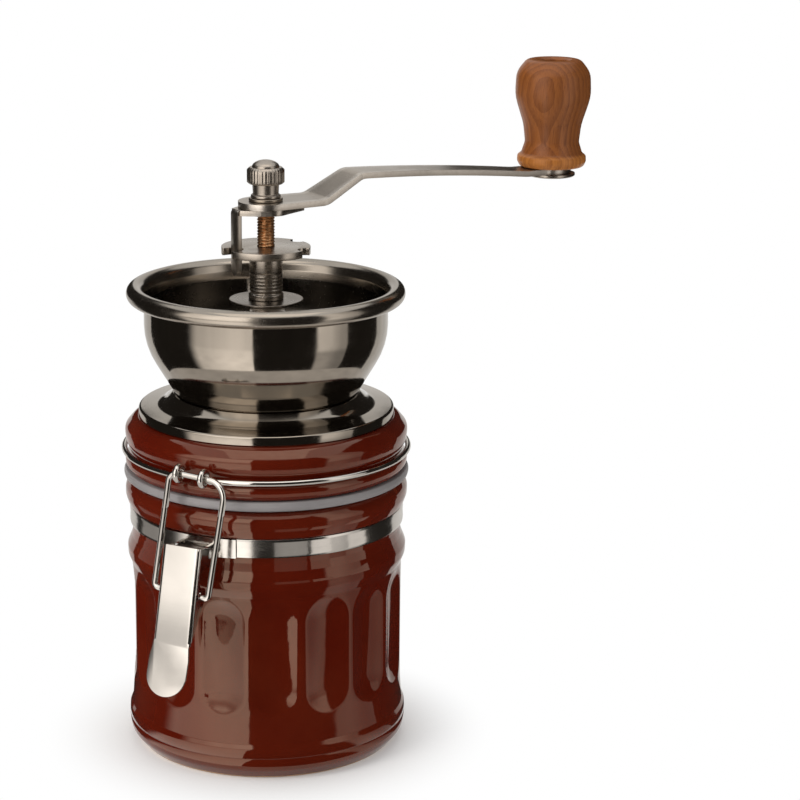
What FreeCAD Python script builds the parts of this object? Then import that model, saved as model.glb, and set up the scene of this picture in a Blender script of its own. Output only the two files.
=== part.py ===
import FreeCAD, Part
import Sketcher
import math
import os
from types import SimpleNamespace

from FreeCAD import Matrix, Placement, Rotation, Vector

# A hand-cranked coffee grinder: a glazed ceramic canister with a wire-bail latch, a metal hopper bowl on
# its hinged lid, a conical burr set below the lid, and a bent crank arm with a turned wooden knob.
# Frame: +Z up, origin at the centre of the foot, latch towards -Y, lid hinge towards +Y. Millimetres.

os.makedirs("parts", exist_ok=True)
document = FreeCAD.newDocument("coffee_grinder")
sheet = document.addObject("Spreadsheet::Sheet", "Sizes")

DRIVING = {
    # jar
    "jar_radius": 46.4,
    "jar_wall": 5.4,
    "jar_floor": 6.0,
    "jar_floor_round": 6.0,
    "jar_mouth_round": 1.2,
    "jar_top": 93.9,
    "foot_ring_proud": 1.6,
    "foot_ring_height": 12.5,
    "foot_ring_round": 4.5,
    "foot_ring_blend": 3.5,
    "foot_recess": 1.2,
    "foot_rim_width": 6.0,
    "rim_bead_proud": 1.8,
    "rim_bead_height": 9.1,
    "rim_bead_round": 2.4,
    "rim_bead_fillet": 0.7,
    "neck_inset": 0.4,
    "neck_height": 10.6,
    "shoulder_proud": 1.4,
    "shoulder_height": 7.0,
    "shoulder_ramp": 6.0,
    "shoulder_ease": 0.2,
    "flute_count": 16,
    "flute_depth": 1.9,
    "flute_width": 15.2,
    "flute_turn": 2.0,
    "flute_above_foot": 11.0,
    "flute_below_shoulder": 4.7,
    # lid and seal
    "seal_thick": 3.9,
    "seal_proud": 0.5,
    "seal_edge": 0.8,
    "spigot_gap": 3.7,
    "spigot_drop": 1.5,
    "lid_proud": 1.6,
    "lid_height": 17.4,
    "lid_edge_round": 5.0,
    "lid_bead_round": 1.2,
    "wire_groove_level": 6.4,
    "wire_groove_depth": 0.65,
    "groove_edge": 0.5,
    "groove_room": 0.4,
    # wires and latch
    "wire_radius": 1.0,
    "band_thick": 0.8,
    "band_width": 6.3,
    "band_drop": 0.2,
    "bracket_half_angle": 16.0,
    "ear_thick": 0.9,
    "ear_radius": 2.3,
    "pin_head_radius": 1.8,
    "pin_head_thick": 0.5,
    "hinge_stand_off": 3.7,
    "hinge_drop": 2.6,
    "hinge_half_width": 9.0,
    "hinge_bend": 3.0,
    "knuckle_half_angle": 13.0,
    "knuckle_half_width": 5.5,
    "knuckle_wall": 1.0,
    "knuckle_web": 0.6,
    "loop_stand_off": 3.3,
    "loop_top_half_width": 10.4,
    "loop_foot_half_width": 10.05,
    "loop_above_wire": 1.85,
    "loop_skew": 3.8,
    "loop_left_bend": 3.0,
    "loop_right_bend": 6.0,
    "loop_foot_bend": 1.6,
    "hook_spread": 4.6,
    "hook_wrap": 285.0,
    "hook_bend": 1.3,
    "pivot_stand_off": 4.1,
    "pivot_drop": 4.1,
    "latch_lean": 13.0,
    "lever_width": 13.9,
    "lever_stand_off": 8.2,
    "lever_lip": 1.9,
    "lever_straight": 30.0,
    "tongue_length": 17.3,
    "tongue_width": 14.4,
    "tongue_lean": 2.0,
    "tongue_shoulder": 5.0,
    "lever_waist": 0.3,
    "lever_waist_rise": 13.0,
    "lever_plate": 0.9,
    "flange_margin": 2.4,
    "flange_web": 2.4,
    "flange_notch": 3.4,
    "loop_hole_inset": 3.3,
    "loop_hole_drop": 13.5,
    "loop_lobe": 3.6,
    "loop_lobe_drop": 1.4,
    # hopper
    "rim_height": 42.1,
    "rim_tube": 2.9,
    "bowl_radius": 41.2,
    "bowl_wall": 0.8,
    "bowl_curve": 25.0,
    "bowl_curve_drop": 12.9,
    "bowl_straight": 10.4,
    "bowl_floor_margin": 1.892,
    "throat_radius": 14.8,
    "skirt_overhang": 0.4,
    "skirt_lip": 3.2,
    "skirt_edge": 0.9,
    "skirt_rise": 4.6,
    "skirt_spread": 4.6,
    # bearing
    "strap_angle": -60.1,
    "strap_width": 11.8,
    "strap_thick": 1.6,
    "strap_drop": 4.8,
    "strap_tab": 5.2,
    "strap_tab_extra": 0.6,
    "collar_disc_radius": 12.5,
    "collar_disc_thick": 0.8,
    "sleeve_radius": 5.7,
    "sleeve_height": 15.3,
    "sleeve_edge": 0.4,
    "sleeve_spigot_drop": 1.4,
    "sleeve_ring_count": 3,
    "sleeve_ring_pitch": 2.0,
    "sleeve_ring_depth": 0.35,
    # shaft and burrs
    "shaft_radius": 3.0,
    "shaft_above_arm": 12.0,
    "shaft_tail": 2.5,
    "shaft_chamfer": 0.5,
    "housing_wall": 2.6,
    "housing_ledge": 2.0,
    "housing_fillet": 3.0,
    "housing_flange": 8.5,
    "housing_flange_thick": 2.5,
    "neck_tube_wall": 1.8,
    "burr_height": 19.0,
    "burr_room": 2.7,
    "burr_bottom_radius": 17.4,
    "burr_top_radius": 9.0,
    "burr_ring_wall": 3.6,
    "burr_land": 1.6,
    "burr_gap": 0.8,
    "burr_teeth": 12,
    "burr_skirt": 3.0,
    "burr_crown": 1.5,
    "tooth_depth": 0.9,
    "tooth_run_out": 2.0,
    "burr_nut_height": 4.0,
    "spring_wire": 0.5,
    "spring_turns": 4,
    "spider_thick": 3.0,
    "spider_ring": 1.6,
    "spider_arm_half": 1.3,
    "spider_hub_wall": 2.2,
    "spider_lift": 2.0,
    "screw_room": 0.5,
    "screw_radius": 1.9,
    "screw_head_edge": 0.8,
    "screw_dome": 1.0,
    "boss_wall": 1.2,
    # adjusting disc, locking plate, crank
    "disc_radius": 15.0,
    "disc_thick": 2.4,
    "second_notch_turn": 126.0,
    "third_notch_turn": 194.5,
    "notch_depth": 6.2,
    "notch_play": 1.0,
    "plate_thick": 1.8,
    "plate_half_width": 8.7,
    "plate_lip": 1.3,
    "plate_ear": 0.8,
    "tab_inset": 3.0,
    "tab_width": 4.4,
    "tab_below_disc": 6.5,
    "arm_above_disc": 13.4,
    "arm_thick": 2.0,
    "arm_hub_radius": 9.3,
    "arm_rise": 7.8,
    "arm_bend_start": 19.0,
    "arm_bend_end": 33.5,
    "arm_middle": 61.5,
    "arm_droop": 4.9,
    "arm_bow_radius": 840.0,
    "arm_seat_margin": 1.0,
    "arm_end_radius": 7.0,
    "crank_radius": 115.3,
    "crank_angle": 56.4,
    # thumb nut
    "washer_radius": 5.7,
    "washer_thick": 1.0,
    "washer_play": 0.25,
    "nut_collar_radius": 5.0,
    "nut_neck_radius": 4.4,
    "nut_head_radius": 6.3,
    "nut_collar_height": 0.9,
    "nut_neck_height": 3.7,
    "nut_head_height": 5.6,
    "nut_head_round": 0.7,
    "nut_edge": 0.4,
    "nut_dome_height": 2.4,
    "nut_bore_spare": 0.8,
    # knob
    "knob_height": 38.0,
    "knob_play": 0.2,
    "knob_flange_radius": 12.3,
    "knob_waist_radius": 9.6,
    "knob_crown_radius": 13.5,
    "knob_recess": 4.0,
    "axle_radius": 3.0,
    "axle_head_radius": 8.5,
    "axle_head_thick": 1.2,
    "knob_screw_radius": 4.7,
    "knob_screw_edge": 1.2,
    "knob_screw_dome": 1.2,
    # clearances
    "running_gap": 0.06,
    "seat_gap": 0.1,
    "pin_gap": 0.08,
    "face_gap": 0.15,
    "loop_end_gap": 0.7,
    "hook_gap": 0.25,
}

for row, (name, number) in enumerate(DRIVING.items(), start=1):
    sheet.set("A{}".format(row), name.replace("_", " "))
    sheet.set("B{}".format(row), str(number))
    sheet.setAlias("B{}".format(row), name)
document.recompute()


def text_of(item):
    return item.text if isinstance(item, Size) else repr(float(item))


def value_of(item):
    return item.value if isinstance(item, Size) else float(item)


class Size:
    """A size: its number, and the sheet expression that gives it."""

    def __init__(self, text, value):
        self.text = text
        self.value = value

    def joined(self, sign, other, value):
        return Size("({} {} {})".format(self.text, sign, text_of(other)), value)

    def __add__(self, other):
        return self.joined("+", other, self.value + value_of(other))

    def __sub__(self, other):
        return self.joined("-", other, self.value - value_of(other))

    def __mul__(self, other):
        return self.joined("*", other, self.value * value_of(other))

    def __truediv__(self, other):
        return self.joined("/", other, self.value / value_of(other))

    def __rsub__(self, other):
        return Size("({} - {})".format(text_of(other), self.text), value_of(other) - self.value)

    def __neg__(self):
        return Size("(-1 * {})".format(self.text), -self.value)

    __radd__ = __add__
    __rmul__ = __mul__


def root(item):
    return Size("sqrt({})".format(item.text), math.sqrt(item.value))


def dome_radius(foot_radius, rise):
    """The ball radius of a cap that rises over a round foot."""
    return (foot_radius * foot_radius + rise * rise) / (rise * 2.0)


size = SimpleNamespace(**{name: Size("Sizes." + name, float(sheet.get(name))) for name in DRIVING})

# Sizes that follow from the driving ones: radii first, then levels from the foot up.

size.jar_inner = size.jar_radius - size.jar_wall
size.foot_ring_radius = size.jar_radius + size.foot_ring_proud
size.rim_bead_radius = size.jar_radius + size.rim_bead_proud
size.neck_radius = size.jar_radius - size.neck_inset
size.shoulder_radius = size.jar_radius + size.shoulder_proud
size.seal_radius = size.rim_bead_radius + size.seal_proud
size.spigot_radius = size.jar_inner - size.spigot_gap
size.lid_radius = size.jar_radius + size.lid_proud
size.band_outer = size.neck_radius + size.seat_gap + size.band_thick
size.hinge_radius = size.band_outer + size.hinge_stand_off
size.loop_radius = size.rim_bead_radius + size.loop_stand_off
size.pivot_radius = size.band_outer + size.pivot_stand_off
size.lever_face = size.pivot_radius + size.lever_stand_off
size.loop_hole_radius = size.lever_face - size.loop_hole_inset
size.skirt_radius = size.lid_radius - size.lid_edge_round + size.skirt_overhang
size.rim_radius = size.bowl_radius + size.rim_tube * 2.0
size.boss_radius = size.screw_radius + size.boss_wall
size.screw_circle = size.throat_radius + size.neck_tube_wall + size.boss_radius + size.screw_room
size.screw_head_radius = size.screw_radius * 1.8
size.lid_hole_radius = size.screw_circle + size.boss_radius + size.seat_gap * 2.0
size.bowl_floor_radius = size.screw_circle + size.screw_head_radius + size.bowl_wall + size.bowl_floor_margin
size.burr_ring_radius = size.burr_bottom_radius + size.burr_gap + size.burr_ring_wall
size.housing_inner = size.burr_ring_radius + size.seat_gap
size.housing_radius = size.housing_inner + size.housing_wall
size.housing_flange_radius = size.housing_radius + size.housing_flange
size.shaft_bore = size.shaft_radius + size.running_gap
size.notch_width = size.tab_width + size.notch_play * 2.0
size.tab_outer = size.disc_radius - size.tab_inset
size.plate_reach = size.tab_outer + size.plate_lip

size.bead_foot = size.jar_top - size.rim_bead_height
size.neck_foot = size.bead_foot - size.neck_height
size.shoulder_foot = size.neck_foot - size.shoulder_height
size.flute_low = size.foot_ring_height + size.flute_above_foot
size.flute_high = size.shoulder_foot - size.flute_below_shoulder
size.band_top = size.bead_foot - size.band_drop
size.band_foot = size.band_top - size.band_width
size.hinge_level = size.band_top - size.hinge_drop
size.pivot_level = size.band_top - size.pivot_drop
size.lever_top = size.pivot_level + size.lever_lip
size.lever_bend = size.pivot_level - size.lever_straight
size.lever_end = size.lever_bend - size.tongue_length
size.loop_hole_level = size.pivot_level - size.loop_hole_drop
size.lid_foot = size.jar_top + size.seal_thick
size.groove_centre = size.lid_foot + size.wire_groove_level
size.loop_top = size.groove_centre + size.loop_above_wire
size.lid_top = size.lid_foot + size.lid_height
size.flange_top = size.jar_top - size.spigot_drop - size.seat_gap
size.flange_foot = size.flange_top - size.housing_flange_thick
size.burr_top = size.flange_foot - size.housing_fillet - size.burr_room
size.burr_foot = size.burr_top - size.burr_height
size.housing_foot = size.burr_foot - size.seat_gap - size.housing_ledge
size.burr_nut_foot = size.burr_foot - size.seat_gap - size.burr_nut_height
size.shaft_foot = size.burr_nut_foot - size.shaft_tail
size.bowl_floor = size.lid_top + size.seat_gap
size.rim_level = size.bowl_floor + size.rim_height
size.bowl_curve_top = size.rim_level - size.bowl_straight
size.cone_top = size.bowl_curve_top - size.bowl_curve_drop
size.strap_level = size.rim_level - size.strap_drop
size.collar_foot = size.strap_level + size.strap_thick + size.seat_gap
size.sleeve_seat = size.collar_foot + size.collar_disc_thick + size.seat_gap
size.sleeve_top = size.sleeve_seat + size.sleeve_height
size.disc_foot = size.sleeve_top + size.seat_gap
size.tab_foot = size.disc_foot - size.tab_below_disc
size.arm_level = size.disc_foot + size.disc_thick + size.arm_above_disc
size.shaft_top = size.arm_level + size.shaft_above_arm
size.washer_foot = size.arm_level + size.arm_thick + size.seat_gap
size.nut_foot = size.washer_foot + size.washer_thick + size.seat_gap
size.arm_high = size.arm_level + size.arm_rise
size.arm_end = size.arm_high - size.arm_droop
size.knob_foot = size.arm_end + size.arm_thick + size.knob_play
size.knob_recess_floor = size.knob_foot + size.knob_height - size.knob_recess


def bind(item, field, amount):
    if isinstance(amount, Size):
        item.setExpression(field, amount.text)
    else:
        setattr(item, field, amount)


def new_body(label):
    body = document.addObject("PartDesign::Body", label + "_body")
    body.Label = label
    return body


def origin_plane(body, role):
    return [item for item in body.Origin.OriginFeatures if item.Role == role][0]


def arc_of(start, end, radius):
    """The shorter arc from start to end; a positive radius has its centre on the left."""
    middle = (start + end) * 0.5
    half = (end - start) * 0.5
    offset = math.sqrt(max(radius ** 2 - half.Length ** 2, 0.0))
    left = Vector(-half.y, half.x, 0) * (1.0 / half.Length)
    centre = middle + left * math.copysign(offset, radius)
    first, last = (start, end) if radius > 0 else (end, start)
    circle = Part.Circle(centre, Vector(0, 0, 1), abs(radius))
    low = math.atan2(first.y - centre.y, first.x - centre.x)
    high = math.atan2(last.y - centre.y, last.x - centre.x)
    return Part.ArcOfCircle(circle, low, high if high > low else high + 2 * math.pi)


def fix_point(sketch, geometry, end, across, up):
    for kind, axis, amount in (("DistanceX", -2, across), ("DistanceY", -1, up)):
        if value_of(amount) == 0.0:
            sketch.addConstraint(Sketcher.Constraint("PointOnObject", geometry, end, axis))
            continue
        index = sketch.addConstraint(Sketcher.Constraint(kind, -1, 1, geometry, end, value_of(amount)))
        if isinstance(amount, Size):
            sketch.setExpression("Constraints[{}]".format(index), amount.text)


def outline(sketch, corners):
    """A closed outline. A corner is (across, up), or (across, up, radius) where an arc leaves it."""
    first = sketch.GeometryCount
    points = [Vector(value_of(corner[0]), value_of(corner[1]), 0) for corner in corners]
    count = len(corners)
    ends = []
    for index, corner in enumerate(corners):
        start = points[index]
        finish = points[(index + 1) % count]
        if len(corner) == 2:
            sketch.addGeometry(Part.LineSegment(start, finish), False)
            ends.append((1, 2))
        else:
            sketch.addGeometry(arc_of(start, finish, value_of(corner[2])), False)
            ends.append((1, 2) if value_of(corner[2]) > 0 else (2, 1))
    for index, corner in enumerate(corners):
        after = (index + 1) % count
        join = Sketcher.Constraint("Coincident", first + index, ends[index][1], first + after, ends[after][0])
        sketch.addConstraint(join)
    for index, corner in enumerate(corners):
        fix_point(sketch, first + index, ends[index][0], corner[0], corner[1])
        if len(corner) == 3:
            radius = abs(value_of(corner[2]))
            fixed = sketch.addConstraint(Sketcher.Constraint("Radius", first + index, radius))
            if isinstance(corner[2], Size):
                sign = "" if value_of(corner[2]) > 0 else "-1 * "
                sketch.setExpression("Constraints[{}]".format(fixed), sign + corner[2].text)


def circle_in(sketch, across, up, radius):
    centre = Vector(value_of(across), value_of(up), 0)
    geometry = sketch.addGeometry(Part.Circle(centre, Vector(0, 0, 1), value_of(radius)), False)
    fix_point(sketch, geometry, 3, across, up)
    fixed = sketch.addConstraint(Sketcher.Constraint("Radius", geometry, value_of(radius)))
    if isinstance(radius, Size):
        sketch.setExpression("Constraints[{}]".format(fixed), radius.text)


def new_sketch(body, name, role, lift=0.0):
    """A sketch on one of the body's origin planes, moved along that plane's normal by lift."""
    sketch = body.newObject("Sketcher::SketchObject", name)
    sketch.AttachmentSupport = (origin_plane(body, role), [""])
    sketch.MapMode = "FlatFace"
    if isinstance(lift, Size):
        sketch.setExpression("AttachmentOffset.Base.z", lift.text)
    elif lift:
        sketch.AttachmentOffset = Placement(Vector(0, 0, lift), Rotation())
    return sketch


def revolve(body, name, corners):
    sketch = new_sketch(body, name + "_profile", "XZ_Plane")
    outline(sketch, corners)
    turned_form = body.newObject("PartDesign::Revolution", name)
    turned_form.Profile = sketch
    turned_form.ReferenceAxis = (sketch, ["V_Axis"])
    turned_form.Angle = 360.0
    sketch.Visibility = False
    return turned_form


def turned(label, corners):
    """A piece turned about Z, from corners given as (radius, height) and arcs between them."""
    body = new_body(label)
    revolve(body, label + "_turned", corners)
    return body


def pad(body, name, role, shapes, thickness, lift=0.0, midplane=False):
    block = body.newObject("PartDesign::Pad", name)
    block.Profile = shapes_sketch(body, name + "_sketch", role, shapes, lift)
    bind(block, "Length", thickness)
    block.Midplane = midplane
    return block


def shapes_sketch(body, name, role, shapes, lift=0.0):
    """A sketch of outlines, given as lists of corners, and circles, given as (across, up, radius)."""
    sketch = new_sketch(body, name, role, lift)
    for shape in shapes:
        if isinstance(shape, tuple):
            circle_in(sketch, *shape)
        else:
            outline(sketch, shape)
    sketch.Visibility = False
    return sketch


def pocket_through(body, name, role, shapes):
    """Cuts the outlines right through the body, both ways from the plane."""
    cut = body.newObject("PartDesign::Pocket", name)
    cut.Profile = shapes_sketch(body, name + "_sketch", role, shapes)
    cut.Type = "ThroughAll"
    cut.Midplane = True
    return cut


def around_axis(body, feature, name, copies):
    document.recompute()
    pattern = body.newObject("PartDesign::PolarPattern", name)
    pattern.Originals = [feature]
    pattern.Axis = (origin_plane(body, "Z_Axis"), [""])
    pattern.Angle = 360.0
    bind(pattern, "Occurrences", copies)
    body.Tip = pattern
    return pattern


def cylinder(name, radius, height, place=Placement()):
    item = document.addObject("Part::Cylinder", name)
    bind(item, "Radius", radius)
    bind(item, "Height", height)
    item.Placement = place
    return item


def box(name, length, width, height, place=Placement()):
    item = document.addObject("Part::Box", name)
    bind(item, "Length", length)
    bind(item, "Width", width)
    bind(item, "Height", height)
    item.Placement = place
    return item


def join(label, items):
    item = document.addObject("Part::MultiFuse", label + "_joined")
    item.Shapes = items
    item.Refine = True
    item.Label = label
    return item


def cut(label, base, tool):
    item = document.addObject("Part::Cut", label + "_cut")
    item.Base = base
    item.Tool = tool
    item.Label = label
    return item


def common(label, first, second):
    item = document.addObject("Part::MultiCommon", label + "_common")
    item.Shapes = [first, second]
    item.Label = label
    return item


def shaped(label, shape, place=Placement()):
    item = document.addObject("Part::Feature", label + "_shape")
    item.Shape = shape
    item.Placement = place
    item.Label = label
    return item


def group(label, solids):
    """Like pieces kept as separate solids in one node."""
    item = document.addObject("Part::Compound", label + "_group")
    item.Links = solids
    item.Label = label
    return item


def at(across=0.0, back=0.0, up=0.0, axis=Vector(0, 0, 1), angle=0.0):
    spot = Vector(value_of(across), value_of(back), value_of(up))
    return Placement(spot, Rotation(axis, value_of(angle)))


ALONG_X = (Vector(0, 1, 0), 90.0)
pivot_spot = Vector(0, -size.pivot_radius.value, size.pivot_level.value)
leaning = Placement(Vector(), Rotation(Vector(-1, 0, 0), size.latch_lean.value), pivot_spot)
loop_foot_spot = leaning.multVec(Vector(0, -size.loop_hole_radius.value, size.loop_hole_level.value))
loop_top_spot = Vector(0, -size.loop_radius.value, size.loop_top.value)
skewed = Placement(Vector(), Rotation(Vector(0, 1, 0), size.loop_skew.value), loop_foot_spot)
crank_turn = Placement(Vector(), Rotation(Vector(0, 0, 1), size.crank_angle.value))


# canister

def jar_body():
    blend = size.foot_ring_blend
    foot_edge = size.foot_ring_radius - size.foot_ring_round
    foot_inner = foot_edge - size.foot_rim_width
    ring_top = size.foot_ring_height
    ease = size.shoulder_ease
    fall = size.shoulder_height * 0.31
    bead_turn = size.rim_bead_height * 0.5
    mouth = size.jar_mouth_round
    body = new_body("jar_body")
    revolve(body, "jar_wall", [
        (0.0, size.foot_recess),
        (foot_inner, size.foot_recess),
        (foot_inner + size.foot_recess, 0.0),
        (foot_edge, 0.0, size.foot_ring_round),
        (size.foot_ring_radius, size.foot_ring_round),
        (size.foot_ring_radius, ring_top - blend * 0.86, blend),
        (size.foot_ring_radius - blend * 0.28, ring_top - blend * 0.17),
        (size.jar_radius, ring_top + blend),
        (size.jar_radius, size.shoulder_foot - size.shoulder_ramp),
        (size.shoulder_radius - ease * 1.5, size.shoulder_foot - ease, size.shoulder_height * 0.75),
        (size.shoulder_radius - ease, size.neck_foot - fall, fall * 1.19),
        (size.neck_radius, size.neck_foot),
        (size.neck_radius, size.bead_foot, -size.rim_bead_fillet),
        (size.neck_radius + size.rim_bead_fillet, size.bead_foot, bead_turn * 0.62),
        (size.rim_bead_radius, size.bead_foot + bead_turn * 0.7),
        (size.rim_bead_radius, size.jar_top - size.rim_bead_round, size.rim_bead_round),
        (size.rim_bead_radius - size.rim_bead_round, size.jar_top),
        (size.jar_inner + mouth, size.jar_top, mouth),
        (size.jar_inner, size.jar_top - mouth),
        (size.jar_inner, size.jar_floor + size.jar_floor_round, -size.jar_floor_round),
        (size.jar_inner - size.jar_floor_round, size.jar_floor),
        (0.0, size.jar_floor),
    ])
    flutes(body)
    half_pitch = 180.0 / size.flute_count.value
    body.Placement = at(angle=90.0 + half_pitch - size.flute_turn.value)
    return body


def flutes(body):
    """Arched hollows in the wall, each a groove turned about an upright line outside the jar."""
    half = size.flute_width * 0.5
    edge = root(size.jar_radius * size.jar_radius - half * half)
    reach = size.flute_depth - (size.jar_radius - edge)
    hollow = (half * half + reach * reach) / (reach * 2.0)
    far = size.jar_radius - size.flute_depth + hollow
    low = size.flute_low + half
    high = size.flute_high - half
    flute = body.newObject("PartDesign::Groove", "flute")
    flute.Profile = shapes_sketch(body, "flute_profile", "XZ_Plane", [[
        (far, low - hollow),
        (far, high + hollow, hollow),
        (far - hollow, high),
        (far - hollow, low, hollow),
    ]])
    flute.ReferenceAxis = (flute.Profile[0], ["Edge1"])
    flute.Angle = 360.0
    around_axis(body, flute, "flutes", size.flute_count)


def neck_band():
    inner = size.neck_radius + size.seat_gap
    return turned("neck_band", [
        (inner, size.band_foot),
        (size.band_outer, size.band_foot),
        (size.band_outer, size.band_top),
        (inner, size.band_top),
    ])


def sector(name, inner, outer, foot, height, half_angle, middle):
    """A piece of a ring about Z, centred on an angle from +X."""
    turn = at(up=foot, angle=middle - half_angle)
    whole = cylinder(name + "_outer", outer, height, turn)
    bind(whole, "Angle", half_angle * 2.0)
    core = cylinder(name + "_inner", inner, height * 2.0, at(up=foot - height * 0.5))
    return cut(name, whole, core)


def band_bracket():
    """A curved plate on the band, with two ears that carry the latch pin."""
    outer = size.band_outer
    plate = sector("bracket_plate", outer, outer + size.band_thick, size.band_foot, size.band_width,
                   size.bracket_half_angle, -90.0)
    ear_near = size.lever_width * 0.5 - size.lever_plate - size.face_gap - size.ear_thick
    length = size.pivot_radius - outer - size.seat_gap
    solids = [plate]
    for name, across in (("right_ear", ear_near), ("left_ear", -ear_near - size.ear_thick)):
        low = size.pivot_level - size.ear_radius
        ear = box(name, size.ear_thick, length, 2.0 * size.ear_radius, at(across, -size.pivot_radius, low))
        eye = at(across, -size.pivot_radius, size.pivot_level, *ALONG_X)
        solids += [ear, cylinder(name + "_tip", size.ear_radius, size.ear_thick, eye)]
    reach = size.lever_width * 0.5
    hole = cylinder("ear_holes", size.wire_radius + size.running_gap, 2.0 * reach, on_pivot(-reach))
    return cut("band_bracket", join("bracket_solid", solids), hole)


def on_pivot(across):
    """A place on the latch's pivot line, with its axis along X."""
    return at(across, -size.pivot_radius, size.pivot_level, *ALONG_X)


def latch_pin():
    reach = size.lever_width * 0.5 + size.pin_gap
    solids = [cylinder("latch_shank", size.wire_radius, 2.0 * reach, on_pivot(-reach))]
    for name, start in (("left_pin_head", -reach - size.pin_head_thick), ("right_pin_head", reach)):
        solids.append(cylinder(name, size.pin_head_radius, size.pin_head_thick, on_pivot(start)))
    return join("latch_pin", solids)


def hinge_knuckle():
    """A curved plate on the band's rear, with a tube for the lid wire's rear bar."""
    outer = size.band_outer
    plate = sector("knuckle_plate", outer, outer + size.band_thick, size.band_foot, size.band_width,
                   size.knuckle_half_angle, 90.0)
    half = size.knuckle_half_width
    bore = size.wire_radius + size.pin_gap
    shell = bore + size.knuckle_wall
    tube = cylinder("knuckle_tube", shell, 2 * half, at(-half, size.hinge_radius, size.hinge_level, *ALONG_X))
    web = box("knuckle_web", 2 * half, size.hinge_radius - outer, shell + size.knuckle_web,
              at(-half, outer, size.hinge_level - shell))
    solid = join("knuckle_solid", [plate, tube, web])
    along_bar = at(-2 * half, size.hinge_radius, size.hinge_level, *ALONG_X)
    return cut("hinge_knuckle", solid, cylinder("knuckle_hole", bore, 4 * half, along_bar))


# latch

def wire_along(edges, radius):
    """A round wire along a path of runs and arcs that meet smoothly."""
    path = Part.Wire(edges)
    start = path.OrderedVertexes[0].Point
    first = path.OrderedEdges[0]
    heading = first.tangentAt(first.getParameterByLength(0.0))
    section = Part.Wire(Part.makeCircle(radius, start, heading))
    solid = path.makePipeShell([section], True, False)
    expected = path.Length * math.pi * radius ** 2
    if abs(solid.Volume / expected - 1.0) > 0.01:
        raise ValueError("a wire's volume is not its section times its length")
    return solid


def bent_path(points, bends):
    """Straight runs between points, with an arc of the given radius at each inner point."""
    edges = []
    here = points[0]
    for index, bend in enumerate(bends, start=1):
        corner = points[index]
        back = (points[index - 1] - corner).normalize()
        ahead = (points[index + 1] - corner).normalize()
        half = 0.5 * back.getAngle(ahead)
        reach = bend / math.tan(half)
        start = corner + back * reach
        end = corner + ahead * reach
        centre = corner + (back + ahead).normalize() * (bend / math.sin(half))
        middle = centre + (corner - centre).normalize() * bend
        if (start - here).Length > 0.001:
            edges.append(Part.LineSegment(here, start).toShape())
        edges.append(Part.Arc(start, middle, end).toShape())
        here = end
    edges.append(Part.LineSegment(here, points[-1]).toShape())
    return edges


def latch_loop():
    """A leaning loop from the hooks to the lever's holes, whose ends stop short of the flanges."""
    broad = Vector(size.loop_top_half_width.value, 0, 0)
    wide = Vector(size.loop_foot_half_width.value, 0, 0)
    beside = Vector(size.lever_width.value * 0.5 + size.loop_end_gap.value, 0, 0)
    points = [
        loop_foot_spot + beside,
        loop_foot_spot + wide,
        loop_top_spot + broad,
        loop_top_spot - broad,
        loop_foot_spot - wide,
        loop_foot_spot - beside,
    ]
    foot_bend = size.loop_foot_bend.value
    top_bends = [size.loop_right_bend.value, size.loop_left_bend.value]
    edges = bent_path(points, [foot_bend] + top_bends + [foot_bend])
    return shaped("latch_loop", wire_along(edges, size.wire_radius.value), skewed)


def latch_lever():
    """A folded plate: a face that bends out into a rounded tongue, and a flange at each side."""
    body = new_body("latch_lever")
    face = size.lever_face
    thick = size.lever_plate
    tip = face + size.tongue_lean
    pad(body, "lever_face_strip", "YZ_Plane", [[
        (-face, size.lever_top),
        (-face, size.lever_bend),
        (-tip, size.lever_end),
        (thick - tip, size.lever_end),
        (thick - face, size.lever_bend),
        (thick - face, size.lever_top),
    ]], size.tongue_width * 1.2, midplane=True)
    top = size.lever_width * 0.5
    waist = top - size.lever_waist
    waist_level = size.lever_bend + size.lever_waist_rise
    wide = size.tongue_width * 0.5
    shoulder = size.lever_bend - size.tongue_shoulder
    ball = size.lever_end + wide
    frame_half = size.tongue_width
    frame_foot = size.lever_end - wide
    frame_top = size.lever_top + wide
    pocket_through(body, "lever_outline", "XZ_Plane", [
        [
            (-frame_half, frame_foot),
            (frame_half, frame_foot),
            (frame_half, frame_top),
            (-frame_half, frame_top),
        ],
        [
            (0.0, size.lever_end, wide),
            (wide, ball),
            (wide, shoulder),
            (top, size.lever_bend),
            (waist, waist_level),
            (top, size.lever_top),
            (-top, size.lever_top),
            (-waist, waist_level),
            (-top, size.lever_bend),
            (-wide, shoulder),
            (-wide, ball, wide),
        ],
    ])
    margin = size.flange_margin
    notch = size.flange_notch
    notch_middle = size.lever_face - size.flange_web - notch
    notch_top = size.pivot_level - size.lever_lip - margin
    lobe = size.loop_hole_radius - size.loop_lobe
    corner = notch_middle - lobe
    flange = [
        (thick - face, size.lever_top),
        (margin - size.pivot_radius, size.lever_top),
        (margin - size.pivot_radius, size.pivot_level - size.lever_lip, -margin),
        (-size.pivot_radius, notch_top),
        (-notch_middle, notch_top, notch),
        (-notch_middle - notch, notch_top - notch, notch),
        (-notch_middle, notch_top - notch * 2.0, -corner),
        (-lobe, notch_top - notch * 2.0 - corner),
        (-lobe, size.loop_hole_level - size.loop_lobe_drop),
        (thick - face, size.lever_bend + thick),
    ]
    pivot_hole = (-size.pivot_radius, size.pivot_level, size.wire_radius + size.pin_gap)
    loop_hole = (-size.loop_hole_radius, size.loop_hole_level, size.wire_radius + size.pin_gap)
    pad(body, "right_flange", "YZ_Plane", [flange, pivot_hole, loop_hole], thick, lift=top - thick)
    pad(body, "left_flange", "YZ_Plane", [flange, pivot_hole, loop_hole], thick, lift=-top)
    body.Placement = leaning
    return body


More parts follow.
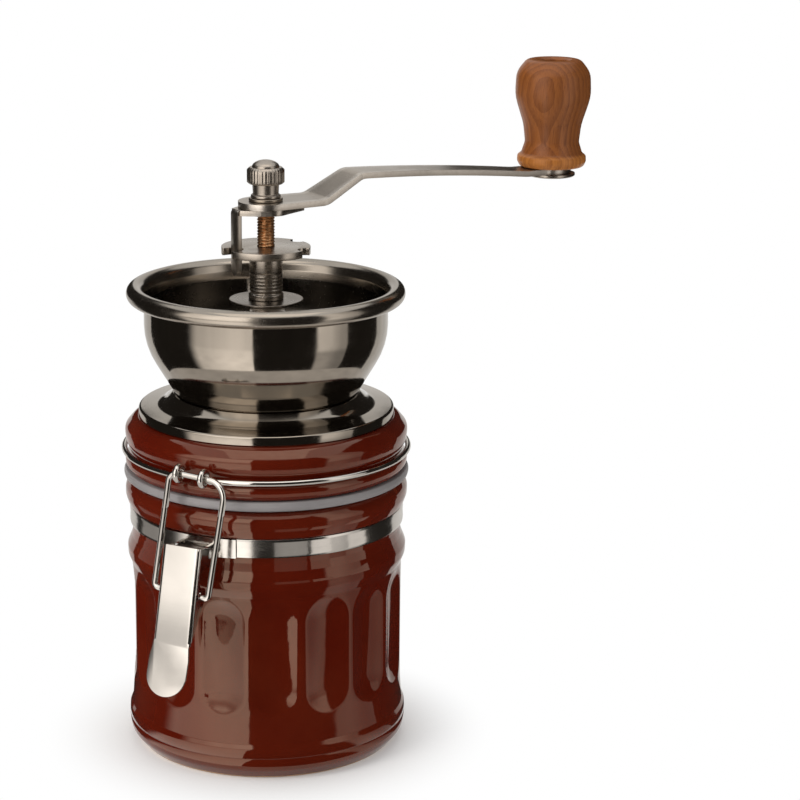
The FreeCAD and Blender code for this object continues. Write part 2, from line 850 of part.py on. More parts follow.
def tangent_angle(across, out, radius):
    """The angle from the middle at which a straight run through a point leaves the round run."""
    span = math.hypot(across, out)
    return math.atan2(across, out) + math.acos(radius / span)


def lid_wire():
    """A wire round the lid's groove: hooks over the loop's top bar, and a hinge bar at the rear."""
    radius = size.lid_radius.value + size.wire_radius.value - size.wire_groove_depth.value
    level = size.groove_centre.value
    hook_radius = 2.0 * size.wire_radius.value + size.hook_gap.value
    hook_wrap = math.radians(size.hook_wrap.value)
    slope = math.tan(math.radians(size.loop_skew.value))
    bar = skewed.multVec(loop_top_spot)
    leg = size.hinge_half_width.value
    back = size.hinge_radius.value
    foot = size.hinge_level.value
    leg_bend = size.hinge_bend.value
    sides = []
    for side in (-1, 1):
        across = side * size.hook_spread.value
        centre = Vector(across, bar.y, bar.z - (across - bar.x) * slope)

        def on_hook(angle):
            return centre + Vector(0, math.cos(angle), math.sin(angle)) * hook_radius

        edges = [Part.Arc(on_hook(hook_wrap), on_hook(hook_wrap * 0.5), on_hook(0.0)).toShape()]
        riser = on_hook(0.0)
        front = tangent_angle(side * riser.x, -riser.y, radius)
        leaves = Vector(side * radius * math.sin(front), -radius * math.cos(front), level)
        edges += bent_path([riser, Vector(riser.x, riser.y, level), leaves], [size.hook_bend.value])
        rear = tangent_angle(leg, back, radius)
        meets = Vector(side * radius * math.sin(rear), radius * math.cos(rear), level)
        edges.append(Part.Arc(leaves, Vector(side * radius, 0, level), meets).toShape())
        high = Vector(side * leg, back, level)
        low = Vector(side * leg, back, foot)
        edges += bent_path([meets, high, low, Vector(0, back, foot)], [leg_bend, leg_bend])
        sides += edges
    path = Part.Wire(Part.__sortEdges__(sides))
    return shaped("lid_wire", wire_along(path.OrderedEdges, size.wire_radius.value))


# lid

def lid_ring():
    under = size.lid_foot
    top = size.lid_top
    groove = size.groove_centre
    outer = size.lid_radius
    bead = size.lid_bead_round
    edge = size.groove_edge
    half = size.wire_radius + size.groove_room
    return turned("lid_ring", [
        (size.lid_hole_radius, size.jar_top - size.spigot_drop),
        (size.spigot_radius, size.jar_top - size.spigot_drop),
        (size.spigot_radius, under),
        (outer - bead * 0.75, under, bead * 1.08),
        (outer, under + bead),
        (outer + edge * 0.3, groove - half - edge * 1.8, edge * 2.6),
        (outer - edge, groove - half, half * -1.107),
        (outer - edge, groove + half, edge * 3.2),
        (outer - edge * 0.1, groove + half + edge * 2.8),
        (outer, top - size.lid_edge_round, size.lid_edge_round),
        (outer - size.lid_edge_round, top),
        (size.lid_hole_radius, top),
    ])


def lid_gasket():
    under = size.jar_top + size.face_gap
    over = size.lid_foot - size.seat_gap
    inner = size.spigot_radius + size.face_gap
    edge = size.seal_radius - size.seal_edge
    return turned("lid_gasket", [
        (inner, under),
        (edge, under, size.seal_thick * 0.31),
        (size.seal_radius, (under + over) * 0.5, size.seal_thick * 0.49),
        (edge, over),
        (inner, over),
    ])


def bowl_cone_start():
    """Outside radius of the hopper where its round side meets its lower cone."""
    drop = size.bowl_curve_drop
    return size.bowl_radius - size.bowl_curve + root(size.bowl_curve * size.bowl_curve - drop * drop)


def bowl_cone_slope():
    return (bowl_cone_start() - size.bowl_floor_radius) / (size.cone_top - size.bowl_floor)


def bowl_cone_radius(height):
    """Outside radius of the hopper's lower cone at a height."""
    return size.bowl_floor_radius + (height - size.bowl_floor) * bowl_cone_slope()


def hopper_bowl():
    """A thin shell: a rolled rim, a round side, a lower cone and a holed floor."""
    floor = size.bowl_floor
    wall = size.bowl_wall
    drop = size.bowl_curve_drop
    inner_curve = size.bowl_curve - wall
    inner_start = size.bowl_radius - size.bowl_curve + root(inner_curve * inner_curve - drop * drop)
    inner_floor = inner_start - (size.cone_top - floor - wall) * bowl_cone_slope()
    tube = size.rim_tube
    rim_middle = size.rim_radius - tube
    rim_drop = tube * 0.82
    body = new_body("hopper_bowl")
    revolve(body, "bowl_shell", [
        (size.throat_radius, floor),
        (size.bowl_floor_radius, floor),
        (bowl_cone_start(), size.cone_top, size.bowl_curve),
        (size.bowl_radius, size.bowl_curve_top),
        (size.bowl_radius, size.rim_level - rim_drop),
        (rim_middle - tube * 0.6, size.rim_level - rim_drop * 0.8, tube),
        (size.rim_radius, size.rim_level, tube),
        (rim_middle, size.rim_level + rim_drop, tube),
        (rim_middle - tube, size.rim_level),
        (size.bowl_radius - wall, size.rim_level - rim_drop - tube * 0.41),
        (size.bowl_radius - wall, size.bowl_curve_top, -inner_curve),
        (inner_start, size.cone_top),
        (inner_floor, floor + wall),
        (size.throat_radius, floor + wall),
    ])
    through = [(across, back, size.screw_radius + size.seat_gap) for across, back in screw_spots()]
    pocket_through(body, "bowl_holes", "XY_Plane", through)
    return body


def screw_spots():
    """Places of the three clamping screws, as (across, back)."""
    turns = [math.radians(30.0 + 120.0 * step) for step in range(3)]
    return [(size.screw_circle * math.cos(turn), size.screw_circle * math.sin(turn)) for turn in turns]


def hopper_skirt():
    foot = size.bowl_floor
    lip = foot + size.skirt_lip
    neck = lip + size.skirt_rise
    low = neck - size.skirt_rise * 0.72
    wall = size.bowl_wall
    edge = size.skirt_edge
    outer = size.skirt_radius
    inner = outer - wall
    spread = size.skirt_spread
    hole = bowl_cone_radius(neck) + size.face_gap
    return turned("hopper_skirt", [
        (inner, foot),
        (outer, foot),
        (outer, lip - edge, edge * 1.1),
        (outer - edge, lip),
        (hole + spread, low, spread * -1.3),
        (hole + spread * 0.11, neck),
        (hole, neck),
        (hole, neck - wall),
        (hole + spread * 0.85, low - wall),
        (inner - edge * 0.67, lip - wall),
        (inner, lip - wall - edge * 0.67),
    ])


def bridge_strap():
    """A strap across the bowl's mouth, with its ends bent down along the wall."""
    reach = size.bowl_radius - size.bowl_wall - size.face_gap
    top = size.strap_level + size.strap_thick
    tab_foot = size.strap_level - size.strap_tab
    tab_inner = reach - size.strap_thick - size.strap_tab_extra
    body = new_body("strap_blank")
    pad(body, "strap_bar", "XZ_Plane", [[
        (-reach, tab_foot),
        (-tab_inner, tab_foot),
        (-tab_inner, size.strap_level),
        (tab_inner, size.strap_level),
        (tab_inner, tab_foot),
        (reach, tab_foot),
        (reach, top),
        (-reach, top),
    ]], size.strap_width, midplane=True)
    pocket_through(body, "strap_hole", "XY_Plane", [(0.0, 0.0, sleeve_spigot() + size.seat_gap)])
    body.Placement = at(angle=size.strap_angle)
    document.recompute()
    inside = cylinder("strap_reach", reach, size.rim_height, at(up=size.bowl_floor))
    return common("bridge_strap", body, inside)


def sleeve_spigot():
    """Radius of the sleeve's lower end, which passes through the disc and the strap."""
    return size.sleeve_radius * 0.8


def collar_disc():
    foot = size.collar_foot
    bore = sleeve_spigot() + size.seat_gap
    return turned("collar_disc", [
        (bore, foot),
        (size.collar_disc_radius, foot),
        (size.collar_disc_radius, foot + size.collar_disc_thick),
        (bore, foot + size.collar_disc_thick),
    ])


def bearing_sleeve():
    outer = size.sleeve_radius
    waist = outer - size.sleeve_ring_depth
    pitch = size.sleeve_ring_pitch
    seat = size.sleeve_seat
    foot = size.strap_level - size.sleeve_spigot_drop
    corners = [
        (size.shaft_bore, foot),
        (sleeve_spigot(), foot),
        (sleeve_spigot(), seat),
        (outer, seat),
        (outer, seat + pitch * 0.6),
    ]
    for ring in range(int(size.sleeve_ring_count.value)):
        level = seat + pitch * (ring + 0.8)
        corners += [
            (waist, level),
            (waist, level + pitch * 0.25),
            (outer, level + pitch * 0.45),
            (outer, level + pitch * 0.8),
        ]
    corners += [
        (outer, size.sleeve_top - size.sleeve_edge),
        (outer - size.sleeve_edge, size.sleeve_top),
        (size.shaft_bore, size.sleeve_top),
    ]
    return turned("bearing_sleeve", corners)


def burr_housing():
    """The shell round the burrs: a flange under the lid, a throat through it and three screw bosses."""
    inner = size.housing_inner
    ledge_top = size.housing_foot + size.housing_ledge
    shoulder = size.flange_foot - size.housing_fillet
    tube = size.throat_radius + size.neck_tube_wall
    body = new_body("burr_housing")
    revolve(body, "housing_shell", [
        (inner - size.housing_ledge, size.housing_foot),
        (size.housing_radius, size.housing_foot),
        (size.housing_radius, shoulder, -size.housing_fillet),
        (size.housing_radius + size.housing_fillet, size.flange_foot),
        (size.housing_flange_radius, size.flange_foot),
        (size.housing_flange_radius, size.flange_top),
        (tube, size.flange_top),
        (tube, size.lid_top),
        (size.throat_radius, size.lid_top),
        (size.throat_radius, size.flange_top - size.housing_flange_thick * 0.4),
        (inner, shoulder),
        (inner, ledge_top),
        (inner - size.housing_ledge, ledge_top),
    ])
    sunk = size.housing_flange_thick * 0.2
    bosses = [(across, back, size.boss_radius) for across, back in screw_spots()]
    boss_foot = size.flange_top - sunk
    pad(body, "screw_bosses", "XY_Plane", bosses, size.lid_top - boss_foot, lift=boss_foot)
    threads = [(across, back, size.screw_radius + size.running_gap) for across, back in screw_spots()]
    bored = body.newObject("PartDesign::Pocket", "screw_threads")
    bored.Profile = shapes_sketch(body, "screw_threads_sketch", "XY_Plane", threads, size.lid_top)
    bind(bored, "Length", size.lid_top - size.flange_foot)
    return body


def teeth(body, name, low_radius, high_radius, copies):
    """Slanted grooves round the axis, each turned about a line that leans along the burr's face."""
    run_out = size.tooth_run_out
    low = size.burr_foot - run_out
    high = size.burr_top + run_out
    tooth = body.newObject("PartDesign::Groove", name + "_tooth")
    tooth.Profile = shapes_sketch(body, name + "_tooth_profile", "XZ_Plane", [[
        (low_radius, low),
        (high_radius, high),
        (high_radius + size.tooth_depth, high),
        (low_radius + size.tooth_depth, low),
    ]])
    tooth.ReferenceAxis = (tooth.Profile[0], ["Edge1"])
    tooth.Angle = 360.0
    around_axis(body, tooth, name + "_teeth", copies)


def outer_burr():
    low = size.burr_bottom_radius + size.burr_gap
    outer = size.burr_ring_radius
    body = new_body("outer_burr")
    revolve(body, "burr_ring", [
        (low, size.burr_foot),
        (outer, size.burr_foot),
        (outer, size.burr_top),
        (outer - size.burr_land, size.burr_top),
    ])
    bite = size.burr_gap * 0.25
    teeth(body, "ring", low + bite, outer - size.burr_land + bite, size.burr_teeth * 2.0)
    return body


def inner_burr():
    foot = size.burr_foot
    top = size.burr_top
    crown = size.burr_crown
    body = new_body("inner_burr")
    revolve(body, "burr_cone", [
        (size.shaft_bore, foot),
        (size.burr_bottom_radius, foot),
        (size.burr_bottom_radius, foot + size.burr_skirt),
        (size.burr_top_radius, top - crown * 0.67),
        (size.burr_top_radius - crown, top + crown),
        (size.shaft_bore, top + crown),
    ])
    bite = size.burr_gap * 0.5
    teeth(body, "cone", size.burr_bottom_radius + bite * 1.5, size.burr_top_radius - bite, size.burr_teeth)
    return body


def bearing_spider():
    """The lower bearing: a ring in the throat, three arms and a hub."""
    outer = size.throat_radius - size.seat_gap
    inner = outer - size.spider_ring
    foot = size.flange_top + size.spider_lift
    thick = size.spider_thick
    half = size.spider_arm_half
    hub = size.shaft_radius + size.spider_hub_wall
    body = new_body("bearing_spider")
    pad(body, "spider_ring", "XY_Plane", [(0.0, 0.0, outer), (0.0, 0.0, inner)], thick, lift=foot)
    arm_start = hub - half
    arm_end = inner + size.spider_ring * 0.5
    arm = pad(body, "spider_arm", "XY_Plane", [[
        (arm_start, -half),
        (arm_end, -half),
        (arm_end, half),
        (arm_start, half),
    ]], thick, lift=foot)
    around_axis(body, arm, "spider_arms", 3)
    hub_rings = [(0.0, 0.0, hub), (0.0, 0.0, size.shaft_bore)]
    pad(body, "spider_hub", "XY_Plane", hub_rings, thick * 2.0, lift=foot)
    return body


def clamp_screws():
    """Three pan-head screws that hold the bowl, the lid and the burr housing together."""
    seat = size.bowl_floor + size.bowl_wall + size.seat_gap
    tip = size.flange_foot + size.housing_flange_thick * 0.2
    edge = seat + size.screw_head_edge
    broad = size.screw_head_radius
    screws = []
    for number, (across, back) in enumerate(screw_spots(), start=1):
        screw = turned("clamp_screw_{}".format(number), [
            (0.0, tip),
            (size.screw_radius, tip),
            (size.screw_radius, seat),
            (broad, seat),
            (broad, edge, dome_radius(broad, size.screw_dome)),
            (0.0, edge + size.screw_dome),
        ])
        screw.Placement = at(across, back)
        screws.append(screw)
    return group("clamp_screws", screws)


# crank

def main_shaft():
    low = size.shaft_foot
    top = size.shaft_top
    edge = size.shaft_chamfer
    return turned("main_shaft", [
        (0.0, low),
        (size.shaft_radius - edge, low),
        (size.shaft_radius, low + edge),
        (size.shaft_radius, top - edge),
        (size.shaft_radius - edge, top),
        (0.0, top),
    ])


def burr_nut():
    thick = size.burr_nut_height
    nut = document.addObject("Part::Prism", "burr_nut_block")
    nut.Polygon = 6
    bind(nut, "Circumradius", size.shaft_radius * 1.9)
    bind(nut, "Height", thick)
    nut.Placement = at(up=size.burr_nut_foot)
    bore = cylinder("burr_nut_bore", size.shaft_bore, thick * 2.0, at(up=size.burr_nut_foot - thick * 0.5))
    return cut("burr_nut", nut, bore)


def shaft_spring():
    """An open coil between the burr's crown and the spider."""
    wire = size.spring_wire.value
    radius = size.shaft_radius.value + 2.0 * wire
    low = (size.burr_top + size.burr_crown + size.seat_gap * 0.5).value + wire
    high = (size.flange_top + size.spider_lift - size.seat_gap).value - wire
    turns = int(size.spring_turns.value)
    pitch = (high - low) / turns
    edges = []
    for step in range(2 * turns):
        angles = [math.pi * (step + part) for part in (0.0, 0.5, 1.0)]
        heights = [low + pitch * (step + part) / 2.0 for part in (0.0, 0.5, 1.0)]
        spots = [Vector(radius * math.cos(a), radius * math.sin(a), z) for a, z in zip(angles, heights)]
        edges.append(Part.Arc(*spots).toShape())
    path = Part.Wire(edges)
    heading = edges[0].tangentAt(edges[0].FirstParameter)
    section = Part.Wire(Part.makeCircle(wire, Vector(radius, 0, low), heading))
    return shaped("shaft_spring", path.makePipeShell([section], True, False))


def adjusting_disc():
    """A flat disc with round-ended notches, which the locking plate's tab enters."""
    body = new_body("adjusting_disc")
    blank = [(0.0, 0.0, size.disc_radius), (0.0, 0.0, size.shaft_bore)]
    pad(body, "disc_blank", "XY_Plane", blank, size.disc_thick, lift=size.disc_foot)
    half = size.notch_width * 0.5
    beyond = size.disc_radius + half
    root_radius = size.disc_radius - size.notch_depth
    notch = pocket_through(body, "disc_notch", "XY_Plane", [[
        (-beyond, -half),
        (-root_radius - half, -half, half),
        (-root_radius, 0.0, half),
        (-root_radius - half, half),
        (-beyond, half),
    ]])
    for name, turn in (("second_notch", size.second_notch_turn), ("third_notch", size.third_notch_turn)):
        bind(around_axis(body, notch, name, 2), "Angle", turn)
    body.Placement = crank_turn
    return body


def locking_plate():
    """A plate under the crank's hub, with a tab bent down at one end."""
    foot = size.arm_level - size.seat_gap - size.plate_thick
    body = new_body("plate_blank")
    reach = size.plate_reach
    half = size.plate_half_width
    ear = size.tab_width * 0.5 + size.plate_ear
    pad(body, "plate_pad", "XY_Plane", [
        [
            (-reach, -ear),
            (half * -0.62, half * -0.78, half),
            (half * 0.62, half * -0.78),
            (reach, -ear),
            (reach, ear),
            (half * 0.62, half * 0.78, half),
            (half * -0.62, half * 0.78),
            (-reach, ear),
        ],
        (0.0, 0.0, size.shaft_bore),
    ], size.plate_thick, lift=foot)
    half_tab = size.tab_width * 0.5
    tip_centre = size.tab_foot + half_tab
    length = foot - tip_centre + size.plate_thick * 0.3
    tab = box("tab_bar", size.plate_thick, size.tab_width, length, at(-size.tab_outer, -half_tab, tip_centre))
    tip = cylinder("tab_tip", half_tab, size.plate_thick, at(-size.tab_outer, 0.0, tip_centre, *ALONG_X))
    plate = join("locking_plate", [body, tab, tip])
    plate.Placement = crank_turn
    return plate


def crank_arm():
    """A flat hub, a double bend upwards, a long bowed run and a flat seat under the knob."""
    foot = size.arm_level
    thick = size.arm_thick
    hub = size.arm_hub_radius
    tip = size.arm_end_radius
    far = size.crank_radius
    reach = far + tip
    seat = far - size.knob_flange_radius - size.arm_seat_margin
    high = size.arm_high
    end = size.arm_end
    lean = thick * 0.25
    body = new_body("crank_arm")
    pad(body, "arm_strip", "XZ_Plane", [[
        (-hub, foot),
        (size.arm_bend_start + lean, foot),
        (size.arm_bend_end + lean, high, -size.arm_bow_radius),
        (seat, end),
        (reach, end),
        (reach, end + thick),
        (seat, end + thick, size.arm_bow_radius),
        (size.arm_bend_end - lean, high + thick),
        (size.arm_bend_start - lean, foot + thick),
        (-hub, foot + thick),
    ]], hub * 3.0, midplane=True)
    frame = hub * 2.0
    pocket_through(body, "arm_outline", "XY_Plane", [
        [(-frame, -frame), (reach + frame, -frame), (reach + frame, frame), (-frame, frame)],
        [
            (0.0, -hub, -hub),
            (-hub, 0.0, -hub),
            (0.0, hub),
            (size.arm_bend_start, hub * 0.89),
            (size.arm_bend_end, hub * 0.74),
            (size.arm_middle, hub * 0.645),
            (far - tip, tip * 0.8),
            (far, tip, -tip),
            (far + tip, 0.0, -tip),
            (far, -tip),
            (far - tip, tip * -0.8),
            (size.arm_middle, hub * -0.645),
            (size.arm_bend_end, hub * -0.74),
            (size.arm_bend_start, hub * -0.89),
        ],
    ])
    axle_hole = (far, 0.0, size.axle_radius + size.seat_gap)
    pocket_through(body, "arm_holes", "XY_Plane", [(0.0, 0.0, size.shaft_bore), axle_hole])
    body.Placement = crank_turn
    return body


def at_knob(piece):
    turn = math.radians(size.crank_angle.value)
    reach = size.crank_radius.value
    piece.Placement = at(reach * math.cos(turn), reach * math.sin(turn))
    return piece


def wooden_knob():
    """A turned knob: a rolled flange, a waist, and a crown with a recess for the screw."""
    foot = size.knob_foot
    tall = size.knob_height
    flange = size.knob_flange_radius
    waist = size.knob_waist_radius
    crown = size.knob_crown_radius
    bore = size.axle_radius + size.running_gap
    recess = size.axle_radius * 1.8
    return at_knob(turned("wooden_knob", [
        (bore, foot),
        (flange * 0.854, foot, tall * 0.05),
        (flange, foot + tall * 0.05),
        (flange, foot + tall * 0.079, tall * 0.045),
        (flange * 0.878, foot + tall * 0.121, tall * -0.132),
        (waist, foot + tall * 0.242),
        (waist * 1.052, foot + tall * 0.329, tall * -1.58),
        (crown * 0.933, foot + tall * 0.6, tall * 0.37),
        (crown, foot + tall * 0.76, tall * 0.32),
        (crown * 0.807, foot + tall * 0.921, tall * 0.16),
        (recess * 1.22, foot + tall),
        (recess, foot + tall * 0.984),
        (recess, size.knob_recess_floor),
        (bore, size.knob_recess_floor),
    ]))


def knob_axle():
    head_top = size.arm_end - size.seat_gap
    head_foot = head_top - size.axle_head_thick
    shoulder = size.knob_recess_floor + size.face_gap
    edge = size.axle_head_thick * 0.33
    return at_knob(turned("knob_axle", [
        (0.0, head_foot),
        (size.axle_head_radius - edge, head_foot, edge * 1.25),
        (size.axle_head_radius, head_foot + edge),
        (size.axle_head_radius, head_top),
        (size.axle_radius, head_top),
        (size.axle_radius, shoulder),
        (0.0, shoulder),
    ]))


def knob_screw():
    low = size.knob_recess_floor + size.face_gap + size.seat_gap
    broad = size.knob_screw_radius
    edge = low + size.knob_screw_edge
    return at_knob(turned("knob_screw", [
        (0.0, low),
        (broad, low),
        (broad, edge, dome_radius(broad, size.knob_screw_dome)),
        (0.0, edge + size.knob_screw_dome),
    ]))


# thumb nut

def nut_washer():
    foot = size.washer_foot
    bore = size.shaft_radius + size.washer_play
    return turned("nut_washer", [
        (bore, foot),
        (size.washer_radius, foot),
        (size.washer_radius, foot + size.washer_thick),
        (bore, foot + size.washer_thick),
    ])


def thumb_nut():
    """A blind nut: a collar, a neck, a broad head and a ball-shaped crown."""
    foot = size.nut_foot
    collar = foot + size.nut_collar_height
    neck = collar + size.nut_neck_height
    head = neck + size.nut_head_height
    edge = size.nut_edge
    soft = size.nut_head_round
    inside = size.shaft_top + size.nut_bore_spare
    crown = size.nut_neck_radius * 1.045
    return turned("thumb_nut", [
        (0.0, inside),
        (size.shaft_bore, inside),
        (size.shaft_bore, foot),
        (size.nut_collar_radius, foot),
        (size.nut_collar_radius, collar),
        (size.nut_neck_radius, collar + edge * 0.75),
        (size.nut_neck_radius, neck),
        (size.nut_head_radius - edge, neck),
        (size.nut_head_radius, neck + edge),
        (size.nut_head_radius, head - soft, soft * 1.14),
        (size.nut_head_radius - soft, head),
        (crown, head, dome_radius(crown, size.nut_dome_height)),
        (0.0, head + size.nut_dome_height),
    ])


pieces = [
    jar_body(),
    neck_band(),
    band_bracket(),
    latch_pin(),
    hinge_knuckle(),
    lid_ring(),
    lid_gasket(),
    lid_wire(),
    hopper_bowl(),
    hopper_skirt(),
    bridge_strap(),
    collar_disc(),
    bearing_sleeve(),
    burr_housing(),
    outer_burr(),
    bearing_spider(),
    clamp_screws(),
    latch_loop(),
    latch_lever(),
    main_shaft(),
    inner_burr(),
    burr_nut(),
    shaft_spring(),
    adjusting_disc(),
    locking_plate(),
    crank_arm(),
    knob_axle(),
    knob_screw(),
    nut_washer(),
    thumb_nut(),
    wooden_knob(),
]

document.recompute()
failed = [item.Label for item in document.Objects if "Invalid" in item.State or "Error" in item.State]
if failed:
    raise ValueError("objects that failed: {}".format(failed))
for piece in pieces:
    shape = piece.Shape
    if shape.isNull() or not shape.isValid() or not shape.Solids:
        raise ValueError("{} has no valid solid".format(piece.Label))
for piece in pieces:
    piece.Shape.exportStep("parts/{}.step".format(piece.Label))
    box_of = piece.Shape.optimalBoundingBox(False)
    print("{:16s} solids {} volume {:9.1f}  x {:.1f} {:.1f}  y {:.1f} {:.1f}  z {:.1f} {:.1f}".format(
        piece.Label, len(piece.Shape.Solids), piece.Shape.Volume,
        box_of.XMin, box_of.XMax, box_of.YMin, box_of.YMax, box_of.ZMin, box_of.ZMax))
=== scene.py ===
import math

import bpy
from bpy.props import FloatProperty, FloatVectorProperty, IntProperty, PointerProperty
from mathutils import Matrix, Vector


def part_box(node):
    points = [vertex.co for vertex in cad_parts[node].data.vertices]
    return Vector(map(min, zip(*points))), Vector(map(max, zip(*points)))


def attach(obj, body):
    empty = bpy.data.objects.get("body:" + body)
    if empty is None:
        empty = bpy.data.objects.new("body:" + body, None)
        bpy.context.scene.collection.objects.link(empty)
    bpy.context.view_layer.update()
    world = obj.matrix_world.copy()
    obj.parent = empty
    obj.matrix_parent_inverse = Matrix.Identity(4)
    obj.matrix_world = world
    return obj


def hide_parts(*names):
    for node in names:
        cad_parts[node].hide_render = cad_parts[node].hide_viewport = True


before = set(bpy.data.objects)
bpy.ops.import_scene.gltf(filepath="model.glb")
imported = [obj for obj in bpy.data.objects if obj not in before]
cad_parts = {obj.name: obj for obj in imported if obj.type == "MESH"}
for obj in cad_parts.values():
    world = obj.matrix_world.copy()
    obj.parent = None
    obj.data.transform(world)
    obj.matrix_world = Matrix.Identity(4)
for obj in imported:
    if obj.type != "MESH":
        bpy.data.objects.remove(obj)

for name in ("Cube", "Light", "Camera"):
    if name in bpy.data.objects:
        bpy.data.objects.remove(bpy.data.objects[name])

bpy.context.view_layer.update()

bl_info = {
    "name": "Coffee Grinder Pieces",
    "version": (1, 0, 0),
    "blender": (4, 5, 0),
    "location": "View3D > Sidebar > Grinder",
    "description": "Models and finishes the visible pieces of a hand coffee grinder around its packed frame",
    "category": "Add Mesh",
}


# Property helpers

def length(name, description, default):
    return FloatProperty(name=name, description=description, default=default, unit="LENGTH", precision=5)


def angle(name, description, degrees):
    return FloatProperty(name=name, description=description, default=math.radians(degrees), subtype="ANGLE")


def count(name, description, default):
    return IntProperty(name=name, description=description, default=default, min=1)


def colour(name, description, default):
    return FloatVectorProperty(name=name, description=description, default=default, size=3,
                               subtype="COLOR", min=0.0, max=1.0)


def level(node, end):
    """The lowest (end 0) or highest (end 1) level of a node of the frame."""
    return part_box(node)[end].z


class GrinderJar(bpy.types.PropertyGroup):
    radius: length("Radius", "Radius of the wall between the flutes", 0.0464)
    inner: length("Inner radius", "Radius of the inside", 0.0410)
    floor: length("Floor", "Level of the floor inside", 0.0060)
    top: length("Top", "Level of the mouth", level("jar_body", 1))
    foot_radius: length("Foot radius", "Radius of the ring round the foot", 0.0480)
    foot_height: length("Foot height", "Height of the ring round the foot", 0.0123)
    shoulder_radius: length("Shoulder radius", "Radius of the bead under the neck", 0.0478)
    shoulder_level: length("Shoulder level", "Level of the bead's middle", 0.0688)
    neck_radius: length("Neck radius", "Radius of the groove that holds the band", 0.0458)
    neck_foot: length("Neck foot", "Level where the neck starts", 0.0742)
    bead_foot: length("Bead foot", "Level where the mouth's bead starts", 0.0847)
    bead_radius: length("Bead radius", "Radius of the mouth's bead", 0.0482)
    flutes: count("Flutes", "Number of flutes round the wall", 16)
    flute_turn: angle("Flute turn", "Turn of the ridge beside the latch", 2.0)
    flute_width: length("Flute width", "Width of a flute", 0.0162)
    flute_depth: length("Flute depth", "Depth of a flute", 0.0023)
    flute_low: length("Flute foot", "Level of a flute's round foot", 0.0225)
    flute_high: length("Flute top", "Level of a flute's round top", 0.0632)


class GrinderLid(bpy.types.PropertyGroup):
    radius: length("Radius", "Radius of the lid's beads", 0.0480)
    foot: length("Foot", "Level of the lid's underside", 0.0978)
    top: length("Top", "Level of the lid's flat top", level("lid_ring", 1))
    spigot: length("Spigot radius", "Radius of the part that enters the jar", 0.0373)
    hole: length("Hole radius", "Radius of the hole in the middle", 0.0235)
    groove: length("Groove level", "Level of the groove for the wire", 0.1043)
    groove_depth: length("Groove depth", "Depth of the groove", 0.0014)
    seal_radius: length("Seal radius", "Radius of the seal's lip", 0.0486)


class GrinderLatch(bpy.types.PropertyGroup):
    pivot_out: length("Pivot distance", "Distance of the pivot from the axis", 0.0510)
    pivot_level: length("Pivot level", "Level of the pivot", 0.0805)
    swing: angle("Swing", "How far the lever leans out at rest", 13.0)
    face_out: length("Face distance", "From the axis to the face of the upright lever", 0.0592)
    plate: length("Plate", "Thickness of the lever's plate", 0.0009)
    top: length("Top", "Level of the upright lever's top", 0.0824)
    bend: length("Bend", "Level where the tongue starts", 0.0505)
    end: length("End", "Level of the tongue's end", 0.0332)
    half_width: length("Half width", "Half of the lever's width", 0.00695)
    tongue_half: length("Tongue half width", "Half of the tongue's width", 0.0072)
    lean: length("Lean", "How far the tongue's end stands out", 0.0020)
    hole_out: length("Hole distance", "From the axis to the holes for the loop's ends", 0.0559)
    hole_level: length("Hole level", "Level of the holes for the loop's ends", 0.0670)
    band_radius: length("Band radius", "Outer radius of the neck band", 0.0469)
    pin_head: length("Pin head", "Radius of the pin's heads", 0.0018)


class GrinderHopper(bpy.types.PropertyGroup):
    radius: length("Radius", "Radius of the bowl's straight side", 0.0412)
    floor_radius: length("Floor radius", "Radius of the bowl's floor", 0.0263)
    wall: length("Wall", "Thickness of the sheet", 0.0008)
    floor: length("Floor", "Level of the bowl's underside", level("hopper_bowl", 0))
    corner: length("Corner", "Level where cone and side would meet", 0.1401)
    curve: length("Curve", "Radius of the round side", 0.025)
    rim_tube: length("Rim tube", "Radius of the rolled rim", 0.0029)
    rim_level: length("Rim level", "Level of the rolled rim's middle", 0.1574)
    throat: length("Throat", "Radius of the hole in the floor", 0.0148)
    skirt_radius: length("Skirt radius", "Radius of the skirt's lip", 0.0434)
    skirt_lip: length("Skirt lip", "Height of the skirt's lip", 0.0032)
    skirt_top: length("Skirt top", "Level of the skirt's neck", level("hopper_skirt", 1))
    strap_turn: angle("Strap turn", "Direction of the strap across the mouth", -60.1)
    strap_level: length("Strap level", "Level of the strap's underside", 0.1526)
    strap_thick: length("Strap thickness", "Thickness of the strap", 0.0016)
    strap_width: length("Strap width", "Width of the strap", 0.0118)
    collar_radius: length("Collar radius", "Radius of the flat disc on the strap", 0.0125)
    bearing_hole: length("Bearing hole", "Radius of the hole in the strap and the disc", 0.0047)


